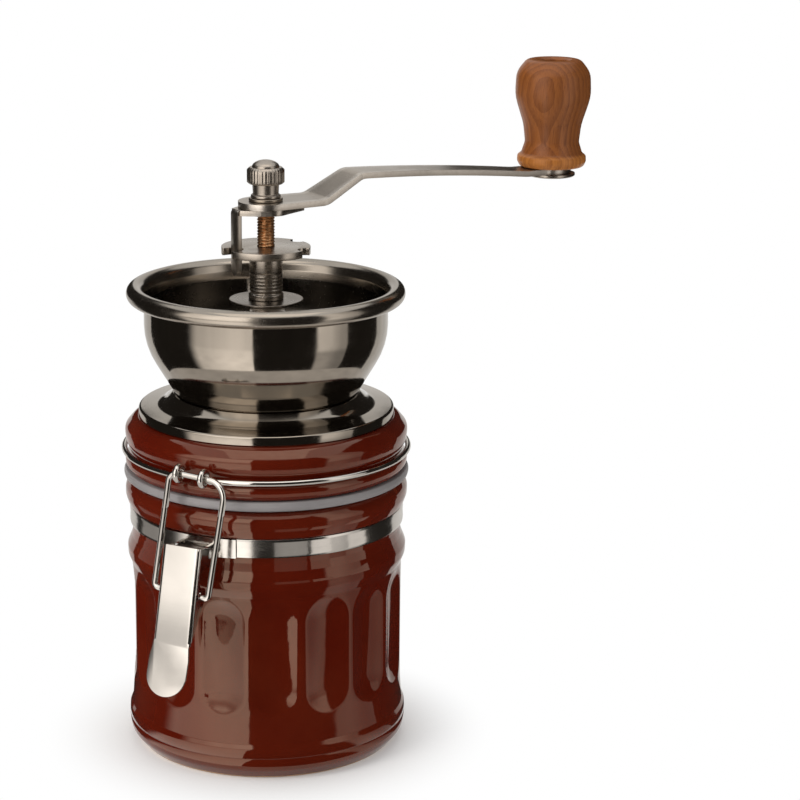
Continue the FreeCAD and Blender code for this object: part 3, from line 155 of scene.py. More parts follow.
class GrinderCrank(bpy.types.PropertyGroup):
    turn: angle("Crank turn", "Direction of the crank at rest", 56.4)
    radius: length("Crank radius", "From the shaft to the knob's axle", 0.1153)
    arm_level: length("Arm level", "Level of the hub's underside", level("crank_arm", 0))
    arm_thick: length("Arm thickness", "Thickness of the arm", 0.0020)
    hub: length("Hub radius", "Radius of the arm's round start", 0.0093)
    tip: length("Tip radius", "Radius of the arm's round end", 0.0070)
    rise: length("Rise", "How far the double bend lifts the arm", 0.0078)
    droop: length("Droop", "How far the long run comes down", 0.0049)
    bend_start: length("Bend start", "From the shaft to the start of the double bend", 0.0190)
    bend_end: length("Bend end", "From the shaft to the end of the double bend", 0.0335)
    seat: length("Seat length", "Length of the flat end before the knob's axle", 0.0133)
    bow: length("Bow", "How far the long run bows up", 0.0007)
    shaft_radius: length("Shaft radius", "Radius of the threaded shaft", 0.0030)
    thread_pitch: length("Thread pitch", "Rise of one turn of the thread", 0.0010)
    thread_foot: length("Thread foot", "Level where the thread starts", 0.1715)
    thread_top: length("Thread top", "Level where the thread ends", 0.1890)
    thread_depth: length("Thread depth", "Depth of the thread's roots", 0.00036)
    disc_radius: length("Disc radius", "Radius of the notched disc", 0.0150)
    disc_thick: length("Disc thickness", "Thickness of the notched disc", 0.0024)
    second_notch: angle("Second notch", "From the tab's notch to the next one", 126.0)
    third_notch: angle("Third notch", "From the tab's notch to the last one", 194.5)
    plate_thick: length("Plate thickness", "Thickness of the locking plate", 0.0018)
    nut_head: length("Nut head", "Radius of the thumb nut's head", 0.0063)
    knurls: count("Knurls", "Ribs round the thumb nut", 34)
    knurl_depth: length("Knurl depth", "Depth of the grooves between the ribs", 0.00014)


class GrinderKnob(bpy.types.PropertyGroup):
    height: length("Height", "Height of the wooden knob", 0.0380)
    flange: length("Flange radius", "Radius of the flange", 0.0123)
    # Painted light: the wood below this height is painted paler, standing in for light from below; the wood
    # itself has one colour there.
    painted_light_height: length("Flange height", "Height up to which the wood is pale", 0.0045)
    waist: length("Waist radius", "Radius of the waist", 0.0096)
    crown: length("Crown radius", "Largest radius of the crown", 0.0135)
    foot: length("Foot", "Level of the knob's underside", level("wooden_knob", 0))


class GrinderColours(bpy.types.PropertyGroup):
    glaze: colour("Glaze", "Deep colour of the glaze", (0.095, 0.0068, 0.0020))
    glaze_thin: colour("Thin glaze", "Colour where the glaze is thin", (0.19, 0.030, 0.010))
    clay: colour("Clay", "Bare clay of the foot", (0.55, 0.36, 0.22))
    seal: colour("Seal", "Silicone of the seal", (0.30, 0.285, 0.29))
    steel: colour("Steel", "Bright stainless sheet and wire", (0.60, 0.575, 0.54))
    gunmetal: colour("Gunmetal", "Dark plating of the hopper", (0.355, 0.318, 0.272))
    nickel: colour("Nickel", "Satin nickel of the crank", (0.41, 0.365, 0.315))
    washer: colour("Washer", "Steel of the washer", (0.36, 0.31, 0.25))
    copper: colour("Copper", "Thread of the shaft", (0.58, 0.31, 0.15))
    housing: colour("Housing", "Black moulding", (0.035, 0.035, 0.036))
    burr: colour("Burr", "White ceramic of the burrs", (0.74, 0.72, 0.67))
    wood_light: colour("Light wood", "Light part of the grain", (0.29, 0.092, 0.018))
    wood_dark: colour("Dark wood", "Dark part of the grain", (0.14, 0.036, 0.006))


class GrinderStage(bpy.types.PropertyGroup):
    camera_side: angle("Camera side", "Direction of the camera round the object", 28.4)
    camera_distance: length("Camera distance", "Distance of the camera from the axis", 0.80825)
    camera_height: length("Camera height", "Height of the camera", 0.33163)
    yaw: angle("Yaw", "How far the camera looks to the right of the axis", 3.226)
    pitch: angle("Pitch", "How far the camera looks down", 14.69)
    roll: angle("Roll", "Roll of the camera", 0.596)
    lens: FloatProperty(name="Lens", description="Focal length in millimetres", default=110.144)
    card_distance: length("Card distance", "Distance of the upright cards from the axis", 0.34)
    card_height: length("Card height", "Height of the upright cards", 0.46)
    fade_start: length("Fade start", "Where the floor starts to glow as white as the backdrop", 0.030)
    fade_end: length("Fade end", "Where the floor is as white as the backdrop", 0.080)
    neck_card_radius: length("Neck card radius", "Distance of the cards that light the steel band", 0.070)
    neck_card_foot: length("Neck card foot", "Level where the band's cards start", 0.0642)
    neck_card_top: length("Neck card top", "Level where the band's cards end", 0.0777)
    sheen_inner: length("Sheen inner radius", "Inner radius of the pale cone under the bowl", 0.050)
    sheen_outer: length("Sheen outer radius", "Outer radius of the pale cone", 0.090)
    sheen_top: length("Sheen top", "Level of the cone's inner edge", 0.0965)
    sheen_foot: length("Sheen foot", "Level of the cone's outer edge", 0.0841)
    card_start: length("Card start", "Where the cards start on the floor", 0.053)
    back_height: length("Back height", "Height of the pale cards at the back", 0.12)


GROUPS = {
    "grinder_jar": GrinderJar,
    "grinder_lid": GrinderLid,
    "grinder_latch": GrinderLatch,
    "grinder_hopper": GrinderHopper,
    "grinder_crank": GrinderCrank,
    "grinder_knob": GrinderKnob,
    "grinder_colours": GrinderColours,
    "grinder_stage": GrinderStage,
}

# Points closer than this are one point
HAIR = 1e-6

# Play between the shaft and what sits on it
SHAFT_FIT = 0.00006

# Radius of the hole for the knob's axle, in the arm and in the wood
AXLE_HOLE = 0.0031


# Modelling helpers

def deselect():
    if bpy.context.object and bpy.context.object.mode != "OBJECT":
        bpy.ops.object.mode_set(mode="OBJECT")
    bpy.ops.object.select_all(action="DESELECT")


def select_only(piece):
    deselect()
    piece.select_set(True)
    bpy.context.view_layer.objects.active = piece


def rounded(corners, step=math.radians(10.0)):
    """Points of a closed outline; a corner is (across, up) or (across, up, rounding radius)."""
    points = []
    for index, corner in enumerate(corners):
        here = Vector(corner[:2])
        if len(corner) < 3:
            points.append(here)
            continue
        back = Vector(corners[index - 1][:2]) - here
        ahead = Vector(corners[(index + 1) % len(corners)][:2]) - here
        half = back.angle(ahead) / 2
        reach = min(corner[2] / math.tan(half), 0.49 * back.length, 0.49 * ahead.length)
        bend = reach * math.tan(half)
        middle = (back.normalized() + ahead.normalized()).normalized()
        centre = here + middle * (bend / math.sin(half))
        first = here + back.normalized() * reach - centre
        last = here + ahead.normalized() * reach - centre
        turn = math.atan2(first.x * last.y - first.y * last.x, first.dot(last))
        parts = max(2, math.ceil(abs(turn) / step))
        points += [centre + Matrix.Rotation(turn * part / parts, 2) @ first for part in range(parts + 1)]
    return points


def outline_object(name, points, upright):
    """A ring of edges through the points, in the XZ plane if upright and in the XY plane if not."""
    deselect()
    bpy.ops.mesh.primitive_circle_add(vertices=len(points), radius=0.01)
    piece = bpy.context.object
    piece.name = name
    piece.data.name = name
    for vertex, point in zip(piece.data.vertices, points):
        vertex.co = (point.x, 0.0, point.y) if upright else (point.x, point.y, 0.0)
    return piece


def clean_mesh(recalculate=True):
    """Merges doubles and drops loose edges of the mesh in edit mode."""
    bpy.ops.mesh.select_all(action="SELECT")
    bpy.ops.mesh.remove_doubles(threshold=HAIR)
    bpy.ops.mesh.delete_loose(use_verts=True, use_edges=True, use_faces=False)
    if recalculate:
        bpy.ops.mesh.select_all(action="SELECT")
        bpy.ops.mesh.normals_make_consistent(inside=False)


def turned(name, corners, sides=128, fine=None):
    """A piece turned about Z; fine is (low, high, cuts): edges there are cut up before the turning."""
    piece = outline_object(name, rounded(corners), True)
    bpy.ops.object.mode_set(mode="EDIT")
    if fine:
        low, high, cuts = fine
        pick_edges(piece, lambda first, last: all(low - HAIR < end.z < high + HAIR for end in (first, last)))
        bpy.ops.mesh.subdivide(number_cuts=cuts)
        bpy.ops.mesh.select_mode(type="VERT")
    bpy.ops.mesh.select_all(action="SELECT")
    bpy.ops.mesh.spin(steps=sides, angle=math.tau, center=(0, 0, 0), axis=(0, 0, 1))
    clean_mesh()
    bpy.ops.object.mode_set(mode="OBJECT")
    return piece


def pick_edges(piece, wanted):
    """Selects, in edit mode, the edges whose two ends wanted(first, last) accepts."""
    bpy.ops.object.mode_set(mode="EDIT")
    bpy.ops.mesh.select_mode(type="EDGE")
    bpy.ops.mesh.select_all(action="DESELECT")
    bpy.ops.object.mode_set(mode="OBJECT")
    points = piece.data.vertices
    for edge in piece.data.edges:
        edge.select = wanted(*(points[number].co for number in edge.vertices))
    bpy.ops.object.mode_set(mode="EDIT")


def moved(piece, matrix):
    """Puts the piece in place through its mesh, so that its object stays at the origin."""
    piece.data.transform(matrix)
    if matrix.determinant() < 0:
        piece.data.flip_normals()
    piece.data.update()
    return piece


def slab(name, corners, foot, thickness):
    """A flat plate between foot and foot + thickness, from an outline in the XY plane."""
    piece = outline_object(name, rounded(corners), False)
    bpy.ops.object.mode_set(mode="EDIT")
    bpy.ops.mesh.select_all(action="SELECT")
    bpy.ops.mesh.edge_face_add()
    bpy.ops.mesh.extrude_region_move(TRANSFORM_OT_translate={"value": (0, 0, thickness)})
    clean_mesh()
    bpy.ops.object.mode_set(mode="OBJECT")
    return moved(piece, Matrix.Translation((0, 0, foot)))


def strip(name, corners, width):
    """A bar as wide as width along Y, from an outline in the XZ plane."""
    piece = slab(name, corners, -width / 2, width)
    return moved(piece, Matrix.Rotation(math.pi / 2, 4, "X"))


def surface(name, along, across, place):
    """A sheet from a grid of along x across faces, whose points place(i, j) puts where they belong."""
    deselect()
    bpy.ops.mesh.primitive_grid_add(x_subdivisions=along, y_subdivisions=across, size=1.0)
    piece = bpy.context.object
    piece.name = name
    piece.data.name = name
    for vertex in piece.data.vertices:
        i = round((vertex.co.x + 0.5) * along)
        j = round((vertex.co.y + 0.5) * across)
        vertex.co = place(i, j)
    return piece


def modified(piece, kind, **settings):
    """Adds a modifier and applies it."""
    select_only(piece)
    modifier = piece.modifiers.new(kind.lower(), kind)
    for field, setting in settings.items():
        setattr(modifier, field, setting)
    bpy.ops.object.modifier_apply(modifier=modifier.name)
    return piece


def edged(piece, width, segments=2, limit=40.0):
    """Softens the sharp edges, as tumbling or polishing does."""
    return modified(piece, "BEVEL", width=width, segments=segments, limit_method="ANGLE",
                    angle_limit=math.radians(limit), use_clamp_overlap=True, miter_outer="MITER_ARC")


def relieved(piece, share_at, depth):
    """Moves each point along its normal by its share of depth, which share_at(point) gives."""
    group = piece.vertex_groups.new(name="relief")
    for vertex in piece.data.vertices:
        weight = share_at(vertex.co)
        if weight > 0.0:
            group.add([vertex.index], weight, "REPLACE")
    modified(piece, "DISPLACE", vertex_group="relief", mid_level=0.0, strength=depth)
    piece.vertex_groups.clear()
    return piece


def combined(piece, other, operation):
    """Joins the other solid to the piece, or cuts it out of the piece, and removes the other one."""
    modified(piece, "BOOLEAN", object=other, operation=operation, solver="EXACT")
    bpy.data.objects.remove(other)
    return piece


def bored(piece, place, radius, depth, turn=Matrix.Identity(4)):
    """Drills a round hole through the piece, centred on place and along Z unless turned."""
    deselect()
    bpy.ops.mesh.primitive_cylinder_add(vertices=48, radius=radius, depth=depth)
    tool = bpy.context.object
    moved(tool, Matrix.Translation(place) @ turn)
    return combined(piece, tool, "DIFFERENCE")


def finished(piece, body, slot, material, *nodes, smooth=35.0):
    """Shades the piece, gives it its material and body, and lets it stand for the nodes."""
    select_only(piece)
    bpy.ops.object.shade_smooth_by_angle(angle=math.radians(smooth))
    piece.data.materials.clear()
    piece.data.materials.append(bpy.data.materials[material])
    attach(piece, body)
    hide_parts(*nodes)
    return piece


def dressed(node, material):
    """Gives a node of the frame its material."""
    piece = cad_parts[node]
    if not piece.data.materials:
        piece.data.materials.append(None)
    for slot in piece.material_slots:
        slot.material = bpy.data.materials[material]


# Material helpers

def put(tree, kind, fields=None, **inputs):
    """Adds a node. Its inputs are named with underscores, and take a number, a colour or a socket."""
    node = tree.nodes.new(kind)
    for field, setting in (fields or {}).items():
        setattr(node, field, setting)
    for name, source in inputs.items():
        wire(tree, node, name, source)
    return node


def wire(tree, node, name, source):
    """Sets or links an input by its name, or by its number as i0, i1 and so on."""
    plain = name.replace("_", " ").lower()
    found = [socket for socket in node.inputs if socket.name.lower() == plain and socket.enabled]
    target = node.inputs[int(name[1:])] if name[1:].isdigit() else found[0]
    if isinstance(source, bpy.types.NodeSocket):
        tree.links.new(source, target)
    elif hasattr(target.default_value, "__len__"):
        size = len(target.default_value)
        target.default_value = (tuple(source) + (1.0,) * size)[:size]
    else:
        target.default_value = source


def math_node(tree, operation, first, second=0.0, third=None, clamp=False):
    node = put(tree, "ShaderNodeMath", {"operation": operation, "use_clamp": clamp}, i0=first, i1=second)
    if third is not None:
        wire(tree, node, "i2", third)
    return node.outputs[0]


def vector_node(tree, operation, first, second=None):
    node = put(tree, "ShaderNodeVectorMath", {"operation": operation}, i0=first)
    if second is not None:
        wire(tree, node, "i1", second)
    return node.outputs[1] if operation == "LENGTH" else node.outputs[0]


def noise(tree, vector, scale, detail=3.0, roughness=0.5, distortion=0.0):
    node = put(tree, "ShaderNodeTexNoise", None, vector=vector, scale=scale, detail=detail,
               roughness=roughness, distortion=distortion)
    return node.outputs["Fac"]


def spread(tree, value, low, high, to_low=0.0, to_high=1.0):
    """Maps the range low..high of a value to another range, without going past its ends."""
    node = put(tree, "ShaderNodeMapRange", {"clamp": True, "interpolation_type": "SMOOTHSTEP"}, value=value,
               from_min=low, from_max=high, to_min=to_low, to_max=to_high)
    return node.outputs[0]


def blend_colours(tree, factor, first, second, kind="MIX"):
    node = tree.nodes.new("ShaderNodeMix")
    node.data_type = "RGBA"
    node.blend_type = kind
    wire(tree, node, "i0", factor)
    for socket, source in ((node.inputs[6], first), (node.inputs[7], second)):
        if isinstance(source, bpy.types.NodeSocket):
            tree.links.new(source, socket)
        else:
            socket.default_value = (*source, 1.0)
    return node.outputs[2]


def group_tree(name, inputs, outputs):
    """An empty shader group; inputs and outputs are {name: (kind, default)}."""
    tree = bpy.data.node_groups.new(name, "ShaderNodeTree")
    for direction, sockets in (("INPUT", inputs), ("OUTPUT", outputs)):
        for label, (kind, default) in sockets.items():
            socket = tree.interface.new_socket(label, in_out=direction, socket_type="NodeSocket" + kind)
            if default is not None:
                socket.default_value = default
    source = tree.nodes.new("NodeGroupInput")
    target = tree.nodes.new("NodeGroupOutput")
    return tree, source.outputs, target.inputs


def use_group(tree, name, **inputs):
    node = tree.nodes.new("ShaderNodeGroup")
    node.node_tree = bpy.data.node_groups[name]
    for label, source in inputs.items():
        wire(tree, node, label, source)
    return node.outputs


def make_handling_group():
    """Faint smudges and hair scratches, as a roughness that changes over the surface."""
    tree, source, target = group_tree("Handling marks", {
        "Vector": ("Vector", None),
        "Roughness": ("Float", 0.1),
        "Smudge": ("Float", 0.06),
        "Scale": ("Float", 60.0),
    }, {"Roughness": ("Float", 0.1), "Scratches": ("Float", 0.0)})
    patches = noise(tree, source["Vector"], source["Scale"], 4.0, 0.6)
    soft = spread(tree, patches, 0.42, 0.72)
    fine = math_node(tree, "MULTIPLY", source["Scale"], 14.0)
    stretched = vector_node(tree, "MULTIPLY", source["Vector"], (1.0, 0.12, 0.5))
    hairs = noise(tree, stretched, fine, 2.0, 0.5, 1.5)
    scratches = spread(tree, hairs, 0.66, 0.72)
    smudged = math_node(tree, "MULTIPLY_ADD", soft, source["Smudge"], source["Roughness"])
    scratched = math_node(tree, "MULTIPLY_ADD", scratches, 0.06, smudged)
    tree.links.new(scratched, target["Roughness"])
    tree.links.new(scratches, target["Scratches"])


def make_turning_group():
    """Rings left by turning or polishing about an upright axis through the vector's origin."""
    tree, source, target = group_tree("Turning rings", {
        "Vector": ("Vector", None),
        "Fineness": ("Float", 2500.0),
    }, {"Height": ("Float", 0.0)})
    parts = put(tree, "ShaderNodeSeparateXYZ", None, vector=source["Vector"])
    flat = put(tree, "ShaderNodeCombineXYZ", None, x=parts.outputs["X"], y=parts.outputs["Y"])
    radius = vector_node(tree, "LENGTH", flat.outputs[0])
    place = put(tree, "ShaderNodeCombineXYZ", None, x=radius, y=parts.outputs["Z"])
    tree.links.new(noise(tree, place.outputs[0], source["Fineness"], 2.0, 0.6), target["Height"])


def make_brushing_group():
    """Long fine lines along the vector's X direction."""
    tree, source, target = group_tree("Brushed lines", {
        "Vector": ("Vector", None),
        "Fineness": ("Float", 2500.0),
    }, {"Height": ("Float", 0.0)})
    stretched = vector_node(tree, "MULTIPLY", source["Vector"], (0.02, 1.0, 1.0))
    tree.links.new(noise(tree, stretched, source["Fineness"], 3.0, 0.65), target["Height"])


def make_edge_group():
    """A mask of the ridges and edges, where glaze is thin and plating is rubbed."""
    tree, source, target = group_tree("Edge wear", {
        "Vector": ("Vector", None),
        "Low": ("Float", 0.51),
        "High": ("Float", 0.56),
        "Scale": ("Float", 300.0),
    }, {"Mask": ("Float", 0.0)})
    shape = tree.nodes.new("ShaderNodeNewGeometry")
    ridges = spread(tree, shape.outputs["Pointiness"], source["Low"], source["High"])
    broken = noise(tree, source["Vector"], source["Scale"], 4.0, 0.6)
    kept = math_node(tree, "MULTIPLY", ridges, spread(tree, broken, 0.25, 0.6, 0.55, 1.0))
    tree.links.new(kept, target["Mask"])


def new_material(name):
    """Makes a material; gives its tree, its Principled shader and its object coordinates."""
    if name in bpy.data.materials:
        raise ValueError("two materials are called " + name)
    material = bpy.data.materials.new(name)
    material.use_nodes = True
    tree = material.node_tree
    shader = tree.nodes["Principled BSDF"]
    place = tree.nodes.new("ShaderNodeTexCoord").outputs["Object"]
    return tree, shader, place


def shading(tree, shader, **inputs):
    for name, source in inputs.items():
        wire(tree, shader, name, source)


def bump(tree, height, distance, strength=1.0):
    node = put(tree, "ShaderNodeBump", None, strength=strength, distance=distance, height=height)
    return node.outputs["Normal"]


def scaled(tone, share):
    """The same hue, darker below a share of 1 and paler above it."""
    return [part * share for part in tone]


def seen_ray(tree):
    """1 for the rays that show a backdrop: those of the camera, of reflections and of glass."""
    path = tree.nodes.new("ShaderNodeLightPath").outputs
    return math_node(tree, "MAXIMUM", path["Is Camera Ray"],
                     math_node(tree, "MAXIMUM", path["Is Glossy Ray"], path["Is Transmission Ray"]))


def glow_node(tree, tone, strength):
    return put(tree, "ShaderNodeEmission", None, color=tone, strength=strength)


def show(tree, shader, output="Material Output"):
    """Makes the shader what the material or the world shows."""
    tree.links.new(shader.outputs[0], tree.nodes[output].inputs["Surface"])


def mixed_shaders(tree, factor, first, second):
    """The first shader where the factor is 0, and the second one where it is 1."""
    mixed = tree.nodes.new("ShaderNodeMixShader")
    tree.links.new(factor, mixed.inputs[0])
    tree.links.new(first.outputs[0], mixed.inputs[1])
    tree.links.new(second.outputs[0], mixed.inputs[2])
    return mixed


def make_glaze(name, tones, foot_level):
    """Thick coloured glaze: deep in hollows, thin on ridges, and none on the foot's bare clay."""
    tree, shader, place = new_material(name)
    clouds = noise(tree, place, 26.0, 4.0, 0.55)
    specks = noise(tree, place, 900.0, 2.0, 0.5)
    ridges = use_group(tree, "Edge wear", vector=place, low=0.505, high=0.60, scale=70.0)["Mask"]
    tone = math_node(tree, "MULTIPLY_ADD", spread(tree, clouds, 0.35, 0.7), 0.22,
                     math_node(tree, "MULTIPLY", ridges, 0.55), clamp=True)
    glaze = blend_colours(tree, tone, tones.glaze, tones.glaze_thin)
    iron = blend_colours(tree, spread(tree, specks, 0.70, 0.78, 0.0, 0.35), glaze, (0.03, 0.006, 0.003))
    height = put(tree, "ShaderNodeSeparateXYZ", None, vector=place).outputs["Z"]
    ragged = math_node(tree, "MULTIPLY_ADD", noise(tree, place, 180.0), 0.0006, foot_level)
    bare = math_node(tree, "LESS_THAN", height, ragged)
    marks = use_group(tree, "Handling marks", vector=place, roughness=0.045, smudge=0.05, scale=40.0)
    rough = math_node(tree, "MULTIPLY_ADD", bare, 0.7, marks["Roughness"])
    ripple = math_node(tree, "MULTIPLY_ADD", noise(tree, place, 320.0, 2.0), 0.16,
                       noise(tree, place, 75.0, 2.0))
    shading(tree, shader, base_color=blend_colours(tree, bare, iron, tones.clay), roughness=rough,
            coat_weight=math_node(tree, "MULTIPLY_ADD", bare, -0.10, 0.10), coat_roughness=0.03, ior=1.65,
            specular_tint=(1.0, 0.74, 0.54), normal=bump(tree, ripple, 0.00022, 0.55))


def make_metal(name, tone, roughness, smudge=0.05, lines=None, fineness=2500.0, depth=0.00001, turn=0.0,
               wear=None, rubbed=0.4):
    """Plated or bare metal; lines is None for polished, or the group that gives its fine lines."""
    tree, shader, place = new_material(name)
    mapped = put(tree, "ShaderNodeMapping", {"vector_type": "TEXTURE"}, vector=place,
                 rotation=(0.0, 0.0, turn)).outputs[0]
    marks = use_group(tree, "Handling marks", vector=mapped, roughness=roughness, smudge=smudge, scale=70.0)
    tint = blend_colours(tree, spread(tree, noise(tree, mapped, 45.0, 3.0), 0.3, 0.75), tone,
                         scaled(tone, 0.86))
    rough = marks["Roughness"]
    relief = math_node(tree, "MULTIPLY", marks["Scratches"], -0.2)
    if lines:
        grooves = use_group(tree, lines, vector=mapped, fineness=fineness)["Height"]
        relief = math_node(tree, "ADD", relief, grooves)
        rough = math_node(tree, "MULTIPLY_ADD", grooves, 0.10, rough)
    if wear:
        edges = use_group(tree, "Edge wear", vector=mapped, low=0.52, high=0.62, scale=900.0)["Mask"]
        tint = blend_colours(tree, math_node(tree, "MULTIPLY", edges, rubbed), tint, wear)
    shading(tree, shader, base_color=tint, metallic=1.0, roughness=rough, normal=bump(tree, relief, depth))


def make_seal(tones):
    """Matt silicone with a fine skin and a little dust in its lip."""
    tree, shader, place = new_material("seal_silicone")
    clouds = spread(tree, noise(tree, place, 55.0, 4.0), 0.35, 0.7)
    tone = blend_colours(tree, clouds, tones.seal, scaled(tones.seal, 0.80))
    skin = noise(tree, place, 1600.0, 2.0)
    shading(tree, shader, base_color=tone, roughness=math_node(tree, "MULTIPLY_ADD", skin, 0.15, 0.38),
            subsurface_weight=0.12, subsurface_radius=(0.002, 0.002, 0.002), subsurface_scale=0.5, ior=1.41,
            normal=bump(tree, skin, 0.00003))


def make_moulding(tones):
    """Black moulded plastic with a fine spark texture."""
    tree, shader, place = new_material("housing_moulding")
    grain = noise(tree, place, 1400.0, 2.0)
    clouds = spread(tree, noise(tree, place, 50.0), 0.3, 0.7)
    tone = blend_colours(tree, clouds, tones.housing, scaled(tones.housing, 1.7))
    shading(tree, shader, base_color=tone, roughness=math_node(tree, "MULTIPLY_ADD", grain, 0.25, 0.35),
            normal=bump(tree, grain, 0.00004))


def make_burr(tones):
    """Matt white ceramic with coffee dust in its hollows."""
    tree, shader, place = new_material("fired_ceramic")
    dust = spread(tree, noise(tree, place, 260.0, 5.0, 0.65), 0.52, 0.75, 0.0, 0.5)
    grain = noise(tree, place, 1800.0, 2.0)
    shading(tree, shader, base_color=blend_colours(tree, dust, tones.burr, (0.16, 0.085, 0.045)),
            roughness=math_node(tree, "MULTIPLY_ADD", grain, 0.2, 0.4), normal=bump(tree, grain, 0.00003))


def make_wood(tones, centre, painted_light_top):
    """Turned and lacquered wood: growth rings seen along the grain, fine pores, a soft sheen, and painted
    light that makes the knob's foot paler.
    """
    tree, shader, place = new_material("lacquered_wood")
    local = put(tree, "ShaderNodeMapping", {"vector_type": "TEXTURE"}, vector=place, location=centre,
                rotation=(0.09, 0.06, 0.4)).outputs[0]
    slow = vector_node(tree, "MULTIPLY", local, (1.0, 1.0, 0.16))
    bend = math_node(tree, "MULTIPLY_ADD", noise(tree, slow, 55.0, 2.0), 0.006, 0.0)
    pith = vector_node(tree, "ADD", slow, (0.021, 0.012, 0.0))
    sides = put(tree, "ShaderNodeSeparateXYZ", None, vector=pith)
    flat = put(tree, "ShaderNodeCombineXYZ", None, x=sides.outputs["X"], y=sides.outputs["Y"])
    rings = math_node(tree, "ADD", vector_node(tree, "LENGTH", flat.outputs[0]), bend)
    wave = math_node(tree, "FRACT", math_node(tree, "MULTIPLY", rings, 520.0))
    late = spread(tree, wave, 0.15, 0.95)
    fibres = noise(tree, vector_node(tree, "MULTIPLY", local, (1.0, 1.0, 0.035)), 2600.0, 3.0, 0.6)
    tone = math_node(tree, "MULTIPLY_ADD", late, 0.42,
                     spread(tree, fibres, 0.35, 0.75, 0.0, 0.40), clamp=True)
    pores = spread(tree, fibres, 0.66, 0.74)
    height = put(tree, "ShaderNodeSeparateXYZ", None, vector=place).outputs["Z"]
    # Painted light: the wood is painted paler below the knob's foot level, standing in for light from below.
    pale = spread(tree, height, painted_light_top - 0.0004, painted_light_top + 0.0006, 1.0, 0.0)
    wood = blend_colours(tree, tone, tones.wood_light, tones.wood_dark)
    wood = blend_colours(tree, pale, wood, (1.70, 1.95, 1.80), "MULTIPLY")
    dark = blend_colours(tree, math_node(tree, "MULTIPLY", pores, 0.5), wood, scaled(tones.wood_dark, 0.4))
    marks = use_group(tree, "Handling marks", vector=local, roughness=0.38, smudge=0.12, scale=90.0)
    relief = math_node(tree, "MULTIPLY_ADD", pores, -0.8, math_node(tree, "MULTIPLY", fibres, 0.3))
    shading(tree, shader, base_color=dark, roughness=marks["Roughness"], coat_weight=0.15,
            coat_roughness=0.22, specular_ior_level=0.3, normal=bump(tree, relief, 0.00004))


class GRINDER_OT_make_materials(bpy.types.Operator):
    """Build the finishes: glaze, metals, silicone, moulding, ceramic and wood"""
    bl_idname = "grinder.make_materials"
    bl_label = "Make Materials"

    def execute(self, context):
        tones = context.scene.grinder_colours
        make_handling_group()
        make_turning_group()
        make_brushing_group()
        make_edge_group()
        make_glaze("jar_glaze", tones, 0.0006)
        make_glaze("lid_glaze", tones, -1.0)
        self.make_metals(tones, context.scene.grinder_crank.turn, context.scene.grinder_hopper.strap_turn)
        make_seal(tones)
        make_moulding(tones)
        make_burr(tones)
        knob = context.scene.grinder_knob
        make_wood(tones, knob_place(context.scene.grinder_crank), knob.foot + knob.painted_light_height)
        return {"FINISHED"}

    def make_metals(self, tones, arm_turn, strap_turn):
        rubbed_edge = (0.80, 0.76, 0.70)
        brushed = {"lines": "Brushed lines", "fineness": 2200.0}
        polished = {"lines": "Turning rings", "fineness": 500.0}
        turned_fine = {"lines": "Turning rings", "fineness": 2600.0}
        make_metal("pressed_steel", tones.steel, roughness=0.10, smudge=0.05, lines="Brushed lines",
                   fineness=900.0, depth=0.000004)
        make_metal("drawn_wire", tones.steel, roughness=0.08, smudge=0.06, depth=0.000004)
        make_metal("band_steel", tones.steel, roughness=0.09, smudge=0.05, lines="Turning rings",
                   fineness=700.0, depth=0.000002)
        make_metal("gunmetal_plate", tones.gunmetal, roughness=0.035, smudge=0.04, depth=0.0000012,
                   **polished)
        make_metal("rim_plate", tones.gunmetal, roughness=0.13, smudge=0.05, depth=0.0000012, **polished)
        # Painted shade: a darker copy of the gunmetal for the bowl's inside, standing in for the shade in the
        # bowl.
        make_metal("hopper_inside", scaled(tones.gunmetal, 0.42), roughness=0.16, smudge=0.10, depth=0.000002,
                   **polished)
        make_metal("turned_nickel", tones.nickel, roughness=0.21, smudge=0.06, depth=0.000003, **turned_fine)
        make_metal("knurled_nickel", tones.nickel, roughness=0.26, smudge=0.05, depth=0.000003, **turned_fine)
        # Painted shade: the collar takes a darker copy of the nickel, standing in for the shade down in the
        # bowl's mouth.
        make_metal("collar_nickel", scaled(tones.nickel, 0.55), roughness=0.20, smudge=0.07, depth=0.000006,
                   **turned_fine)
        make_metal("satin_nickel", tones.nickel, roughness=0.20, smudge=0.07, depth=0.000006,
                   wear=rubbed_edge, **turned_fine)
        make_metal("arm_nickel", tones.nickel, roughness=0.24, smudge=0.08, depth=0.000008, turn=arm_turn,
                   wear=rubbed_edge, **brushed)
        make_metal("strap_nickel", tones.nickel, roughness=0.20, smudge=0.08, depth=0.000006, turn=strap_turn,
                   **brushed)
        make_metal("washer_steel", tones.washer, roughness=0.28, smudge=0.06, depth=0.000006, **turned_fine)
        make_metal("copper_thread", tones.copper, roughness=0.36, smudge=0.04, depth=0.000001)


# Canister and lid

def flute_share(jar, point):
    """How deep the flute is at a point of the wall, from 0 outside it to 1 on its middle line."""
    radius = math.hypot(point.x, point.y)
    if radius < (jar.inner + jar.radius) / 2:
        return 0.0
    pitch = math.tau / jar.flutes
    turn = math.atan2(point.x, -point.y) + jar.flute_turn
    beside = (turn % pitch - pitch / 2) * jar.radius
    half = jar.flute_width / 2
    past = max(jar.flute_low + half - point.z, point.z - jar.flute_high + half, 0.0)
    away = math.hypot(beside, past) / half
    return (1.0 - away ** 2) ** 1.08 if away < 1.0 else 0.0


